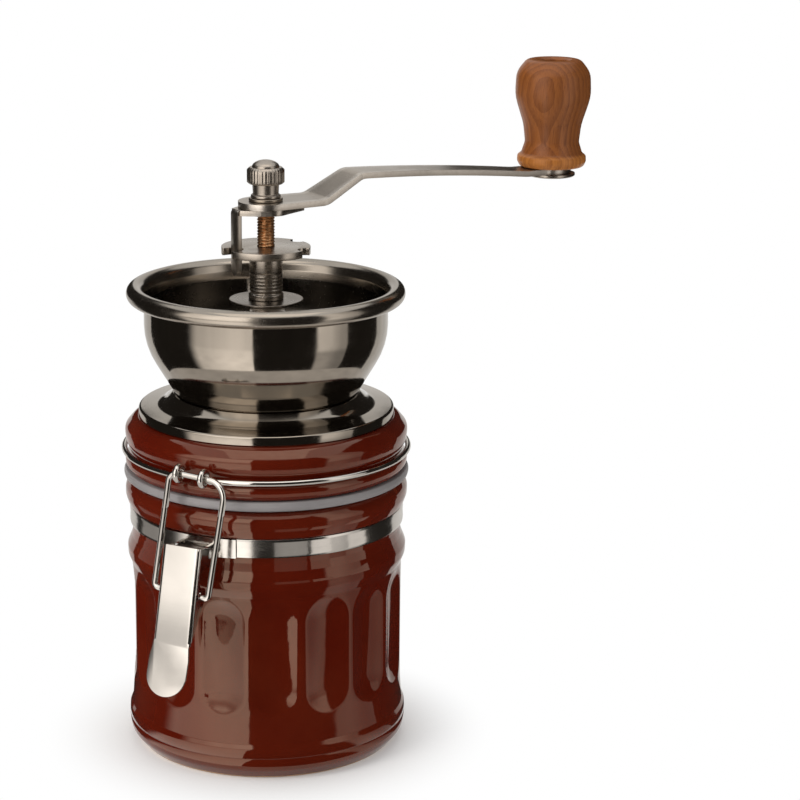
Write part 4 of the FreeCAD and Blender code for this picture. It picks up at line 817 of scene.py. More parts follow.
class GRINDER_OT_add_jar(bpy.types.Operator):
    """Add the glazed canister, with its foot ring, flutes, shoulder bead, neck and mouth bead"""
    bl_idname = "grinder.add_jar"
    bl_label = "Add Canister"

    def execute(self, context):
        jar = context.scene.grinder_jar
        foot = jar.foot_radius
        wall = jar.radius
        shoulder = jar.shoulder_radius
        neck = jar.neck_radius
        bead = jar.bead_radius
        line = 0.00018
        piece = turned("canister_shell", [
            (0.0, 0.0012), (0.0372, 0.0012, 0.0006), (0.0382, 0.0, 0.0008), (0.0442, 0.0, 0.0022),
            (foot - 0.0004, 0.0042, 0.0040), (foot, 0.0078), (foot - line, 0.0081), (foot, 0.0084),
            (foot - 0.0001, jar.foot_height - 0.0008, 0.0010),
            (foot - 0.0010, jar.foot_height + 0.0006, 0.0010), (wall + 0.0003, 0.0170, 0.0060),
            (wall, jar.flute_low - 0.0012), (wall, jar.flute_high + 0.0008),
            (wall + 0.0001, 0.0642, 0.0020), (shoulder - 0.0001, jar.shoulder_level - 0.0016, 0.0026),
            (shoulder, jar.shoulder_level + 0.0012, 0.0024),
            (neck + 0.0006, jar.neck_foot - 0.0008, 0.0016), (neck, jar.neck_foot + 0.0020, 0.0016),
            (neck, jar.bead_foot, 0.0005), (bead - 0.0012, jar.bead_foot, 0.0014),
            (bead, jar.bead_foot + 0.0034, 0.0040), (bead, jar.top - 0.0028, 0.0030),
            (bead - 0.0022, jar.top, 0.0022), (jar.inner + 0.0004, jar.top, 0.0016),
            (jar.inner, jar.top - 0.0030, 0.0020), (jar.inner, jar.floor, 0.0070), (0.0, jar.floor),
        ], sides=jar.flutes * 20, fine=(jar.flute_low - 0.0013, jar.flute_high + 0.0009, 44))
        relieved(piece, lambda point: flute_share(jar, point), -jar.flute_depth)
        finished(piece, "canister", "glazed_jar", "jar_glaze", "jar_body", smooth=60.0)
        return {"FINISHED"}


class GRINDER_OT_add_lid(bpy.types.Operator):
    """Add the glazed lid with its two beads and wire groove, and the seal under it"""
    bl_idname = "grinder.add_lid"
    bl_label = "Add Lid and Seal"

    def execute(self, context):
        lid = context.scene.grinder_lid
        mouth = context.scene.grinder_jar.top
        self.add_ring(lid, mouth)
        self.add_seal(lid, mouth)
        return {"FINISHED"}

    def add_ring(self, lid, mouth):
        outer = lid.radius
        groove = outer - lid.groove_depth
        ring = turned("lid_shell", [
            (lid.hole, mouth - 0.0015), (lid.spigot, mouth - 0.0015, 0.0008),
            (lid.spigot, lid.foot, 0.0005), (outer - 0.0010, lid.foot, 0.0012),
            (outer, lid.foot + 0.0016, 0.0016), (outer + 0.0001, lid.groove - 0.0030, 0.0018),
            (groove + 0.0002, lid.groove - 0.0010, 0.0007), (groove + 0.0002, lid.groove + 0.0010, 0.0007),
            (outer - 0.0002, lid.groove + 0.0030, 0.0018), (outer + 0.0001, lid.groove + 0.0056, 0.0060),
            (outer, lid.top - 0.0036, 0.0040), (outer - 0.0032, lid.top, 0.0036),
            (lid.hole, lid.top, 0.0006),
        ], sides=180)
        finished(ring, "lid", "glazed_lid", "lid_glaze", "lid_ring", smooth=60.0)

    def add_seal(self, lid, mouth):
        """The seal, with a shallow groove under its lip."""
        inner = lid.spigot + 0.0003
        lip = lid.seal_radius
        seal = turned("seal_ring", [
            (inner, mouth + 0.0001), (lip - 0.0022, mouth + 0.0001, 0.0003),
            (lip - 0.0018, mouth + 0.0008, 0.0004), (lip - 0.0003, mouth + 0.0009, 0.0005),
            (lip, mouth + 0.0019, 0.0008), (lip, lid.foot - 0.0014, 0.0008),
            (lip - 0.0005, lid.foot - 0.0002, 0.0006), (inner, lid.foot - 0.0002),
        ], sides=180)
        finished(seal, "lid", "seal", "seal_silicone", "lid_gasket")


# Band and latch

def latch_swing(latch):
    """The turn that leans the lever out about its pivot, as in the photographed pose."""
    pivot = Vector((0.0, -latch.pivot_out, latch.pivot_level))
    return Matrix.Translation(pivot) @ Matrix.Rotation(-latch.swing, 4, "X") @ Matrix.Translation(-pivot)


class GRINDER_OT_add_latch(bpy.types.Operator):
    """Add the folded latch lever with its tongue, its pin, and the steel band round the neck"""
    bl_idname = "grinder.add_latch"
    bl_label = "Add Latch and Band"

    def execute(self, context):
        latch = context.scene.grinder_latch
        self.add_lever(latch)
        self.add_pin(latch)
        self.add_band(latch)
        return {"FINISHED"}

    def add_lever(self, latch):
        """Folds the lever as a channel, trims it to its side view, and adds the tongue."""
        plate, wide, face = latch.plate, latch.half_width, latch.face_out
        rear = latch.pivot_out - 0.0030
        fold = 0.0016
        lever = slab("latch_lever_plate", [
            (-wide, -rear), (-wide, -face, fold), (wide, -face, fold), (wide, -rear), (wide - plate, -rear),
            (wide - plate, plate - face, fold - plate), (plate - wide, plate - face, fold - plate),
            (plate - wide, -rear),
        ], latch.bend - 0.0010, latch.top - latch.bend + 0.0030)
        combined(lever, self.side_view(latch), "INTERSECT")
        across = Matrix.Rotation(math.pi / 2, 4, "Y")
        combined(lever, self.top_tabs(latch), "UNION")
        combined(lever, self.tongue(latch), "UNION")
        edged(lever, 0.00022, 2, 50.0)
        for out, up in ((latch.pivot_out, latch.pivot_level), (latch.hole_out, latch.hole_level)):
            bored(lever, (0.0, -out, up), 0.00108, 0.03, across)
        moved(lever, latch_swing(latch))
        finished(lever, "latch_lever", "bright_steel", "pressed_steel", "latch_lever", smooth=40.0)

    def side_view(self, latch):
        """A block as wide as the lever, with the outline that the flanges have from the side."""
        ahead = -latch.face_out - 0.0010
        inside = latch.plate - latch.face_out
        rear = 0.0024 - latch.pivot_out
        lobe = 0.0036 - latch.hole_out
        notch = latch.pivot_level - 0.0043
        floor = 0.0024 - latch.face_out
        block = strip("side_view", [
            (ahead, latch.bend), (inside, latch.bend), (inside, latch.bend + latch.plate, 0.0010),
            (lobe, latch.hole_level - 0.0014, 0.0022), (lobe, notch - 0.0068, 0.0012),
            (floor, notch - 0.0068, 0.0033), (floor, notch, 0.0033), (rear, notch, 0.0023),
            (rear, latch.top, 0.0006), (ahead, latch.top),
        ], 0.04)
        return moved(block, Matrix.Rotation(math.pi / 2, 4, "Z"))

    def top_tabs(self, latch):
        """A small tab at the top of the right flange, folded in over the channel."""
        wide, face = latch.half_width, latch.face_out
        return slab("top_tab", [
            (wide - 0.0004, 0.0002 - face), (wide - 0.0004, 0.0030 - face, 0.0004),
            (wide - 0.0036, 0.0026 - face, 0.0008), (wide - 0.0036, 0.0002 - face),
        ], latch.top - 0.0007, 0.0006)

    def tongue(self, latch):
        """The rounded tongue below the bend, leaning out."""
        half, plate = latch.tongue_half, latch.plate
        reach = latch.bend - latch.end
        round_end = [(half * math.sin(turn), half - reach - half * math.cos(turn))
                     for turn in (math.radians(7.5 * part) for part in range(-12, 13))]
        tongue = strip("tongue", [
            *round_end,
            (half, -0.0048, 0.0020), (latch.half_width - 0.0004, -0.0008, 0.0020),
            (latch.half_width - 0.0004, 0.0008), (0.0004 - latch.half_width, 0.0008),
            (0.0004 - latch.half_width, -0.0008, 0.0020), (-half, -0.0048, 0.0020),
        ], plate)
        lean = math.atan2(latch.lean, reach)
        moved(tongue, Matrix.Rotation(-lean, 4, "X"))
        return moved(tongue, Matrix.Translation((0.0, plate / 2 - latch.face_out, latch.bend)))

    def add_pin(self, latch):
        reach = latch.half_width + 0.0001
        head = latch.pin_head
        pin = turned("rivet_pin", [
            (0.0, -reach - 0.0005), (0.0009, -reach - 0.0005, 0.0008), (head, -reach - 0.0001, 0.0004),
            (head, -reach, 0.0001), (0.0010, -reach), (0.0010, reach), (head, reach, 0.0001),
            (head, reach + 0.0001, 0.0004), (0.0009, reach + 0.0005, 0.0008), (0.0, reach + 0.0005),
        ], sides=40)
        moved(pin, Matrix.Rotation(math.pi / 2, 4, "Y"))
        moved(pin, Matrix.Translation((0.0, -latch.pivot_out, latch.pivot_level)))
        finished(pin, "canister", "bright_steel", "pressed_steel", "latch_pin")

    def add_band(self, latch):
        low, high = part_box("neck_band")
        outer = latch.band_radius
        band = turned("neck_strip", [
            (outer - 0.0008, low.z), (outer - 0.0001, low.z, 0.0003), (outer, low.z + 0.0009, 0.0008),
            (outer - 0.00012, (low.z + high.z) / 2, 0.004), (outer, high.z - 0.0009, 0.0008),
            (outer - 0.0001, high.z, 0.0003), (outer - 0.0008, high.z),
        ], sides=180)
        finished(band, "canister", "bright_steel", "band_steel", "neck_band")


# Hopper

class GRINDER_OT_add_hopper(bpy.types.Operator):
    """Add the plated bowl with its rolled rim, and the skirt on the lid"""
    bl_idname = "grinder.add_hopper"
    bl_label = "Add Hopper"

    def execute(self, context):
        hopper = context.scene.grinder_hopper
        self.add_bowl(hopper)
        self.add_skirt(hopper)
        return {"FINISHED"}

    def add_bowl(self, hopper):
        tube = hopper.rim_tube
        middle = Vector((hopper.radius + tube, hopper.rim_level))
        wall = hopper.wall
        curl = [middle + Vector((math.cos(turn), math.sin(turn))) * tube
                for turn in (math.radians(7.0 * part) for part in range(-19, 25))]
        inner = hopper.radius - wall
        inner_corner = hopper.corner + 0.0004
        bowl = turned("hopper_shell", [
            (hopper.throat, hopper.floor, 0.0003), (hopper.floor_radius, hopper.floor, 0.0012),
            (hopper.radius, hopper.corner, hopper.curve), (hopper.radius, middle.y - tube * 0.9, 0.0006),
            *[tuple(point) for point in curl],
            (inner + 0.0003, middle.y - 0.0010, 0.0020), (inner, middle.y - 0.0040, 0.0030),
            (inner, inner_corner, hopper.curve - wall),
            (hopper.floor_radius - wall * 1.3, hopper.floor + wall, 0.0010),
            (hopper.throat, hopper.floor + wall, 0.0003),
        ], sides=192)
        finished(bowl, "lid", "dark_metal", "gunmetal_plate", "hopper_bowl", smooth=50.0)
        self.line_inside(hopper, bowl)

    def line_inside(self, hopper, bowl):
        """Gives the rolled rim its softer polish, and gives the faces below it that look inwards, with the
        bowl's inner floor, a rougher polish and painted shade: a darker copy of the gunmetal.
        """
        for name in ("hopper_inside", "rim_plate"):
            bowl.data.materials.append(bpy.data.materials[name])
        rim_foot = hopper.rim_level - hopper.rim_tube
        for face in bowl.data.polygons:
            outward = Vector((face.center.x, face.center.y, 0.0)).normalized()
            inward = face.normal.dot(outward) < -0.1
            bottom = face.normal.z > 0.5 and face.center.z < hopper.floor + 0.003
            if face.center.z > rim_foot:
                face.material_index = 2
            elif inward or bottom:
                face.material_index = 1

    def add_skirt(self, hopper):
        outer = hopper.skirt_radius
        foot = hopper.floor
        lip = foot + hopper.skirt_lip
        top = hopper.skirt_top
        wall = hopper.wall
        slope = (hopper.radius - hopper.floor_radius) / (hopper.corner - hopper.floor)
        neck = hopper.floor_radius + (top - hopper.floor) * slope + 0.00015
        skirt = turned("hopper_flare", [
            (outer - wall, foot, 0.0002), (outer, foot, 0.0003), (outer, lip, 0.0009),
            (neck + 0.0040, lip + 0.0009, 0.0062), (neck + 0.0006, top, 0.0003), (neck, top, 0.0001),
            (neck, top - wall), (neck + 0.0034, lip + 0.0003, 0.0060), (outer - wall, lip - wall, 0.0006),
        ], sides=192)
        finished(skirt, "lid", "dark_metal", "gunmetal_plate", "hopper_skirt", smooth=50.0)


class GRINDER_OT_add_bearing(bpy.types.Operator):
    """Add the strap across the bowl's mouth, the flat disc on it and the ribbed sleeve"""
    bl_idname = "grinder.add_bearing"
    bl_label = "Add Upper Bearing"

    def execute(self, context):
        hopper = context.scene.grinder_hopper
        self.add_strap(hopper)
        self.add_collar(hopper)
        self.add_sleeve(level("collar_disc", 1))
        return {"FINISHED"}

    def add_strap(self, hopper):
        tab_foot = level("bridge_strap", 0)
        top = hopper.strap_level + hopper.strap_thick
        end = hopper.radius - hopper.wall - 0.0016
        thick = hopper.strap_thick
        strap = strip("bridge_strip", [
            (-end, tab_foot, 0.0004), (thick - end, tab_foot, 0.0004),
            (thick - end, hopper.strap_level, 0.0010), (end - thick, hopper.strap_level, 0.0010),
            (end - thick, tab_foot, 0.0004), (end, tab_foot, 0.0004), (end, top, 0.0022),
            (-end, top, 0.0022),
        ], hopper.strap_width)
        edged(strap, 0.0003)
        moved(strap, Matrix.Rotation(hopper.strap_turn, 4, "Z"))
        bored(strap, (0.0, 0.0, top), hopper.bearing_hole, 0.01)
        finished(strap, "lid", "nickel", "strap_nickel", "bridge_strap")

    def add_collar(self, hopper):
        foot, high = level("collar_disc", 0), level("collar_disc", 1)
        collar = turned("collar_plate", [
            (hopper.bearing_hole, foot), (hopper.collar_radius, foot, 0.0002),
            (hopper.collar_radius, high, 0.0003), (hopper.bearing_hole, high),
        ], sides=96)
        finished(collar, "lid", "nickel", "collar_nickel", "collar_disc")

    def add_sleeve(self, seat):
        """The sleeve: a neck through the disc, a foot ring on it, five ribs and a plain top."""
        foot, top = level("bearing_sleeve", 0), level("bearing_sleeve", 1)
        outer, bore, neck = 0.0057, 0.0031, 0.0046
        ribs, pitch, first_rib = 5, 0.0012, 0.0026
        seat = seat + 0.0001
        corners = [
            (bore, foot), (neck, foot, 0.0003), (neck, seat), (outer + 0.0002, seat, 0.0002),
            (outer + 0.0002, seat + 0.0016, 0.0003), (outer - 0.0005, seat + 0.0022, 0.0003),
        ]
        for rib in range(ribs):
            start = seat + first_rib + rib * pitch
            corners += [
                (outer - 0.0003, start, 0.0001), (outer - 0.0001, start + 0.0003, 0.0002),
                (outer - 0.0001, start + 0.0008, 0.0002), (outer - 0.0003, start + 0.0010, 0.0001),
            ]
        corners += [
            (outer - 0.0003, seat + 0.0090, 0.0001), (outer - 0.0001, seat + 0.0094, 0.0003),
            (outer - 0.0001, top, 0.0005), (bore, top),
        ]
        sleeve = turned("bearing_tube", corners, sides=72)
        finished(sleeve, "lid", "nickel", "turned_nickel", "bearing_sleeve")


# Shaft, disc, plate and crank

def notch_outline(radius, notches):
    """Outline of a disc with round-ended notches, each given as (direction, half width, root radius)."""
    corners = []
    for number, (turn, half, root) in enumerate(notches):
        gap = math.asin(half / radius)
        heading = Vector((math.cos(turn), math.sin(turn)))
        side = Vector((-heading.y, heading.x))
        mouth = math.cos(gap) * radius
        near = root + half
        corners.append((*(heading * mouth - side * half), 0.0007))
        for part in range(13):
            bend = math.pi * part / 12
            corners.append((*(heading * (near - half * math.sin(bend)) - side * (half * math.cos(bend))),))
        corners.append((*(heading * mouth + side * half), 0.0007))
        ahead, wide, _ = notches[(number + 1) % len(notches)]
        start = turn + gap
        reach = (ahead - math.asin(wide / radius) - start) % math.tau
        steps = max(4, round(math.degrees(reach) / 4.0))
        for part in range(1, steps):
            here = start + reach * part / steps
            corners.append((radius * math.cos(here), radius * math.sin(here)))
    return corners


def thread_share(shaft_radius, pitch, low, high, point):
    """Depth of a right-hand thread at a point of the shaft, from 0 on its crests to 1 in its roots."""
    if not low < point.z < high or math.hypot(point.x, point.y) < shaft_radius * 0.9:
        return 0.0
    turn = math.atan2(point.y, point.x) / math.tau
    phase = (point.z / pitch - turn) % 1.0
    ease = min(1.0, (point.z - low) / pitch, (high - point.z) / pitch)
    return ease * min(1.0, max(0.0, abs(2.0 * phase - 1.0) * 1.3 - 0.12))


def between(along, stops):
    """The value at a place between stops, on a straight line from each stop to the next."""
    for (start, first), (stop, last) in zip(stops, stops[1:]):
        if along <= stop:
            share = max(0.0, (along - start) / (stop - start))
            return first + (last - first) * share
    return stops[-1][1]


class GRINDER_OT_add_shaft(bpy.types.Operator):
    """Add the threaded shaft and the notched disc that sets the grind"""
    bl_idname = "grinder.add_shaft"
    bl_label = "Add Shaft and Disc"

    def execute(self, context):
        crank = context.scene.grinder_crank
        self.add_threaded_shaft(crank)
        self.add_disc(crank)
        return {"FINISHED"}

    def add_threaded_shaft(self, crank):
        foot, top = level("main_shaft", 0), level("main_shaft", 1)
        low, high = crank.thread_foot, crank.thread_top
        radius = crank.shaft_radius
        rows_per_turn = 9
        rows = round((high - low) / crank.thread_pitch * rows_per_turn)
        shaft = turned("threaded_shaft", [
            (0.0, foot), (radius, foot, 0.0005), (radius, low), (radius, high), (radius, top, 0.0005),
            (0.0, top),
        ], sides=72, fine=(low, high, rows))
        relieved(shaft, lambda point: thread_share(radius, crank.thread_pitch, low, high, point),
                 -crank.thread_depth)
        finished(shaft, "crank", "shaft_metal", "copper_thread", "main_shaft", smooth=50.0)

    def add_disc(self, crank):
        """The disc, with a deep notch for the plate's tab opposite the arm and two shallower ones."""
        foot = level("adjusting_disc", 0)
        deep, shallow = (0.0032, 0.0088), (0.0026, 0.0120)
        notches = [
            (math.pi, *deep), (math.pi + crank.second_notch, *shallow),
            (math.pi + crank.third_notch, *shallow),
        ]
        disc = slab("notched_disc", notch_outline(crank.disc_radius, notches), foot, crank.disc_thick)
        edged(disc, 0.00025, 3)
        bored(disc, (0.0, 0.0, foot), crank.shaft_radius + SHAFT_FIT, 0.02)
        moved(disc, Matrix.Rotation(crank.turn, 4, "Z"))
        finished(disc, "crank", "nickel", "satin_nickel", "adjusting_disc")


class GRINDER_OT_add_crank(bpy.types.Operator):
    """Add the bent crank arm and the locking plate with its bent-down tab"""
    bl_idname = "grinder.add_crank"
    bl_label = "Add Crank"

    def execute(self, context):
        crank = context.scene.grinder_crank
        self.add_arm(crank)
        self.add_plate(crank)
        return {"FINISHED"}

    def add_arm(self, crank):
        """Bends a sheet along the arm's side line, and gives it the width that the arm has at each place."""
        thick = crank.arm_thick
        base = crank.arm_level + thick / 2
        high = base + crank.rise
        end = high - crank.droop
        side = rounded([
            (-crank.hub, base), (crank.bend_start, base, 0.0070), (crank.bend_end, high, 0.0060),
            (crank.radius - crank.seat, end, 0.0300), (crank.radius + crank.tip, end), (0.0, -1.0),
        ], math.radians(4.0))[:-1]
        stations = self.spaced(side, 0.0022, crank)
        columns = 8

        def place(i, j):
            along, up = stations[i]
            return Vector((along, self.half_width(along, crank) * (2 * j / columns - 1), up))

        arm = surface("crank_bar", len(stations) - 1, columns, place)
        bpy.ops.object.mode_set(mode="EDIT")
        clean_mesh()
        bpy.ops.object.mode_set(mode="OBJECT")
        modified(arm, "SOLIDIFY", thickness=thick, offset=0.0, use_even_offset=True)
        edged(arm, 0.00045, 3, 50.0)
        bored(arm, (0.0, 0.0, base), crank.shaft_radius + SHAFT_FIT, 0.02)
        bored(arm, (crank.radius, 0.0, end), AXLE_HOLE, 0.02)
        moved(arm, Matrix.Rotation(crank.turn, 4, "Z"))
        finished(arm, "crank", "nickel", "arm_nickel", "crank_arm", smooth=40.0)

    def half_width(self, along, crank):
        """Half of the arm's width: round at the hub and the tip, and tapering between them."""
        taper = between(along, [(0.0, crank.hub), (crank.bend_start, 0.0083), (crank.bend_end, 0.0069),
                                (0.0615, 0.0060), (0.1083, 0.0056)])
        if along < 0.0:
            return math.sqrt(max(0.0, crank.hub ** 2 - along ** 2))
        past = along - crank.radius
        disc = math.sqrt(max(0.0, crank.tip ** 2 - past ** 2))
        return disc if past > 0.0 else max(taper, disc)

    def spaced(self, side, gap, crank):
        """Stations along the arm's side line, close at its round ends, with a bow in the long run."""
        run_start, run_end = crank.bend_end + 0.0015, crank.radius - crank.seat - 0.0017
        stations = []
        for first, last in zip(side, side[1:]):
            parts = max(1, round((last - first).length / gap))
            stations += [first.lerp(last, part / parts) for part in range(parts)]
        stations.append(side[-1])
        hub_end = [Vector((-crank.hub * math.cos(math.radians(10.0 * part)), side[0].y)) for part in range(9)]
        tip_end = [Vector((crank.radius + crank.tip * math.sin(math.radians(10.0 * part)), side[-1].y))
                   for part in range(10)]
        neck = crank.radius - crank.tip * 0.58
        kept = [point for point in stations if 0.0 <= point.x < crank.radius]
        kept += [Vector((neck, side[-1].y))]
        ordered = sorted(hub_end + kept + tip_end, key=lambda point: point.x)
        for point in ordered:
            if run_start < point.x < run_end:
                share = (point.x - run_start) / (run_end - run_start)
                point.y += crank.bow * 4.0 * share * (1.0 - share)
        return ordered

    def add_plate(self, crank):
        thick = crank.plate_thick
        top = crank.arm_level - 0.0001
        foot = top - thick
        back, reach, ear, half = 0.0112, 0.0133, 0.0030, 0.0087
        plate = slab("lock_plate", [
            (-back, -ear), (-half * 0.62, -half * 0.78, 0.0030), (0.0, -half * 1.12, 0.0080),
            (half * 0.62, -half * 0.78, 0.0030), (reach, -ear, 0.0012), (reach, ear, 0.0012),
            (half * 0.62, half * 0.78, 0.0030), (0.0, half * 1.12, 0.0080),
            (-half * 0.62, half * 0.78, 0.0030), (-back, ear),
        ], foot, thick)
        tab_root, tab_out, tab_width, tip_round = 0.0090, 0.0120, 0.0044, 0.0021
        tab_foot = level("locking_plate", 0)
        tab = strip("lock_tab", [
            (-tab_root, foot), (thick - tab_out, foot, 0.0008), (thick - tab_out, tab_foot),
            (-tab_out, tab_foot), (-tab_out, top, 0.0024), (-tab_root, top),
        ], tab_width)
        self.round_tip(tab, tab_foot, tip_round)
        combined(plate, tab, "UNION")
        edged(plate, 0.00028, 2, 45.0)
        bored(plate, (0.0, 0.0, foot), crank.shaft_radius + SHAFT_FIT, 0.02)
        moved(plate, Matrix.Rotation(crank.turn, 4, "Z"))
        finished(plate, "crank", "nickel", "arm_nickel", "locking_plate", smooth=40.0)

    def round_tip(self, tab, foot, radius):
        """Rounds the tab's lower corners, whose short edges run through its thickness."""
        pick_edges(tab, lambda first, last: max(first.z, last.z) < foot + HAIR
                   and abs(first.y - last.y) < HAIR)
        bpy.ops.mesh.bevel(offset=radius, segments=8, affect="EDGES")
        bpy.ops.mesh.select_mode(type="VERT")
        bpy.ops.object.mode_set(mode="OBJECT")


class GRINDER_OT_add_nut(bpy.types.Operator):
    """Add the knurled thumb nut and the dark washer under it"""
    bl_idname = "grinder.add_nut"
    bl_label = "Add Thumb Nut"

    def execute(self, context):
        crank = context.scene.grinder_crank
        self.add_washer(crank)
        self.add_thumb_nut(crank)
        return {"FINISHED"}

    def add_washer(self, crank):
        foot, top = level("nut_washer", 0), level("nut_washer", 1)
        hole, outer = crank.shaft_radius + 0.00025, 0.0057
        washer = turned("dark_washer_ring", [
            (hole, foot), (outer, foot, 0.0002), (outer, top, 0.0003), (hole, top),
        ], sides=72)
        finished(washer, "nut_washer", "dark_washer", "washer_steel", "nut_washer")

    def add_thumb_nut(self, crank):
        """The nut, turned with a collar, a neck and a domed head, and knurled round the head."""
        foot, top = level("thumb_nut", 0), level("thumb_nut", 1)
        collar = foot + 0.0009
        neck = collar + 0.0037
        head = neck + 0.0056
        wide = crank.nut_head
        dome = 0.0046
        inside = level("main_shaft", 1) + 0.0008
        crown = [(dome * math.cos(math.radians(turn)), head + (top - head) * math.sin(math.radians(turn)))
                 for turn in range(0, 91, 9)]
        low, high = neck + 0.0006, head - 0.0009
        nut = turned("knurled_nut", [
            (0.0, inside), (crank.shaft_radius + 0.0001, inside), (crank.shaft_radius + 0.0001, foot),
            (0.0050, foot, 0.0002), (0.0050, collar, 0.0004), (0.0043, collar + 0.0003, 0.0003),
            (0.0045, neck, 0.0002), (wide - 0.0007, neck, 0.0003), (wide, low), (wide, high),
            (wide - 0.0009, head, 0.0005), (dome + 0.0003, head, 0.0003),
            *crown,
        ], sides=crank.knurls * 6, fine=(low, high, 3))

        def knurl(point):
            if math.hypot(point.x, point.y) < wide - 0.0003 or not low - HAIR < point.z < high + HAIR:
                return 0.0
            phase = math.atan2(point.y, point.x) * crank.knurls
            return (0.5 - 0.5 * math.cos(phase)) ** 0.8

        relieved(nut, knurl, -crank.knurl_depth)
        finished(nut, "thumb_nut", "nickel", "knurled_nickel", "thumb_nut", smooth=45.0)


# Knob

def knob_place(crank):
    """Where the knob's axle stands at rest, on the floor's level."""
    return Vector((crank.radius * math.cos(crank.turn), crank.radius * math.sin(crank.turn), 0.0))


class GRINDER_OT_add_knob(bpy.types.Operator):
    """Add the turned wooden knob, its axle and the screw that keeps it"""
    bl_idname = "grinder.add_knob"
    bl_label = "Add Knob"

    def execute(self, context):
        knob = context.scene.grinder_knob
        shift = Matrix.Translation(knob_place(context.scene.grinder_crank))
        self.add_wood(knob, shift)
        self.add_axle(shift)
        self.add_screw(shift)
        return {"FINISHED"}

    def add_wood(self, knob, shift):
        foot, tall = knob.foot, knob.height
        recess = foot + tall - 0.0040
        flange, waist, crown = knob.flange, knob.waist, knob.crown
        wood = turned("knob_handle", [
            (AXLE_HOLE, foot), (flange - 0.0010, foot, 0.0014), (flange, foot + 0.0020, 0.0020),
            (flange - 0.0001, foot + 0.0039, 0.0009), (flange - 0.0010, foot + 0.0046, 0.0003),
            (flange - 0.0015, foot + 0.0051, 0.0008), (waist, foot + 0.0088, 0.0036),
            (waist + 0.0007, foot + 0.0150, 0.0160), (crown, foot + tall * 0.66, 0.0160),
            (crown - 0.0004, foot + tall * 0.88, 0.0070), (crown - 0.0040, foot + tall, 0.0048),
            (0.0064, foot + tall, 0.0010), (0.0054, foot + tall - 0.0008, 0.0004), (0.0054, recess),
            (AXLE_HOLE, recess),
        ], sides=128)
        moved(wood, shift)
        finished(wood, "knob", "turned_wood", "lacquered_wood", "wooden_knob", smooth=50.0)

    def add_axle(self, shift):
        """The axle, whose broad head lies under the arm's end."""
        foot, end = level("knob_axle", 0), level("knob_axle", 1)
        top = foot + 0.0012
        head, stem = 0.0085, 0.0030
        axle = turned("knob_pin", [
            (0.0, foot), (head - 0.0005, foot, 0.0004), (head, foot + 0.0004, 0.0003), (head, top, 0.0001),
            (stem, top), (stem, end), (0.0, end),
        ], sides=96)
        moved(axle, shift)
        finished(axle, "crank", "bright_steel", "turned_nickel", "knob_axle")

    def add_screw(self, shift):
        """The screw's domed head, with a crossed slot."""
        low, high = level("knob_screw", 0), level("knob_screw", 1)
        edge = low + 0.0010
        head, dome = 0.0047, 0.0045
        crown = [(dome * math.cos(math.radians(turn)), edge + (high - edge) * math.sin(math.radians(turn)))
                 for turn in range(0, 91, 10)]
        screw = turned("knob_screw_head", [
            (0.0, low), (head, low, 0.0002), (head, edge, 0.0003), *crown,
        ], sides=64)
        long, wide, deep = 0.0026, 0.0005, 0.0010
        for turn in (0.4, 0.4 + math.pi / 2):
            slot = slab("slot", [(-long, -wide), (long, -wide), (long, wide), (-long, wide)],
                        high - deep, 0.002)
            moved(slot, Matrix.Rotation(turn, 4, "Z"))
            combined(screw, slot, "DIFFERENCE")
        moved(screw, shift)
        finished(screw, "crank", "bright_steel", "pressed_steel", "knob_screw")


class GRINDER_OT_dress_nodes(bpy.types.Operator):
    """Give the pieces that keep their frame meshes their finishes"""
    bl_idname = "grinder.dress_nodes"
    bl_label = "Dress Frame Pieces"

    def execute(self, context):
        finishes = {
            "pressed_steel": ["band_bracket", "hinge_knuckle", "clamp_screws", "burr_nut", "shaft_spring"],
            "drawn_wire": ["latch_loop", "lid_wire"],
            "housing_moulding": ["burr_housing", "bearing_spider"],
            "fired_ceramic": ["outer_burr", "inner_burr"],
        }
        for name, nodes in finishes.items():
            for node in nodes:
                dressed(node, name)
        return {"FINISHED"}


# Stage

WARM_LIGHT = (1.0, 0.95, 0.90)


def glow_cloth(name, tone, strength):
    """Cloth that glows in its own colour."""
    tree, _, place = new_material(name)
    weave = spread(tree, noise(tree, place, 18.0, 3.0), 0.3, 0.7)
    show(tree, glow_node(tree, blend_colours(tree, weave, tone, scaled(tone, 0.86)), strength))


def one_sided_cloth(name, strength):
    """Cloth that glows on its front and can't be seen from its back."""
    tree, _, place = new_material(name)
    weave = spread(tree, noise(tree, place, 60.0, 3.0), 0.3, 0.7, 0.84 * strength, strength)
    back = tree.nodes.new("ShaderNodeNewGeometry").outputs["Backfacing"]
    clear = tree.nodes.new("ShaderNodeBsdfTransparent")
    show(tree, mixed_shaders(tree, back, glow_node(tree, WARM_LIGHT, weave), clear))


def dip_between(tree, height):
    """Less light in the middle of a window than at its foot and its top."""
    return math_node(tree, "ADD", spread(tree, height, 0.03, 0.095, 1.0, 0.58),
                     spread(tree, height, 0.10, 0.16, 0.0, 0.66))


def dip_at_floor(tree, height):
    """Less light where a window meets the floor."""
    return spread(tree, height, 0.005, 0.04, 0.55, 1.0)


def window_light(name, camera_side, stops, dip):
    """A window whose light changes by (from, to, change) with the direction, and by dip with the height."""
    tree, _, place = new_material(name)
    parts = put(tree, "ShaderNodeSeparateXYZ", None, vector=place).outputs
    turn = math_node(tree, "ARCTAN2", parts["X"], math_node(tree, "MULTIPLY", parts["Y"], -1.0))
    strength = 0.05
    for start, end, change in stops:
        low, high = (camera_side + math.radians(side) for side in (start, end))
        strength = math_node(tree, "ADD", spread(tree, turn, low, high, 0.0, change), strength)
    strength = math_node(tree, "MULTIPLY", strength, dip(tree, parts["Z"]))
    weave = spread(tree, noise(tree, place, 14.0, 3.0), 0.3, 0.7, 0.90, 1.05)
    show(tree, glow_node(tree, WARM_LIGHT, math_node(tree, "MULTIPLY", strength, weave)))


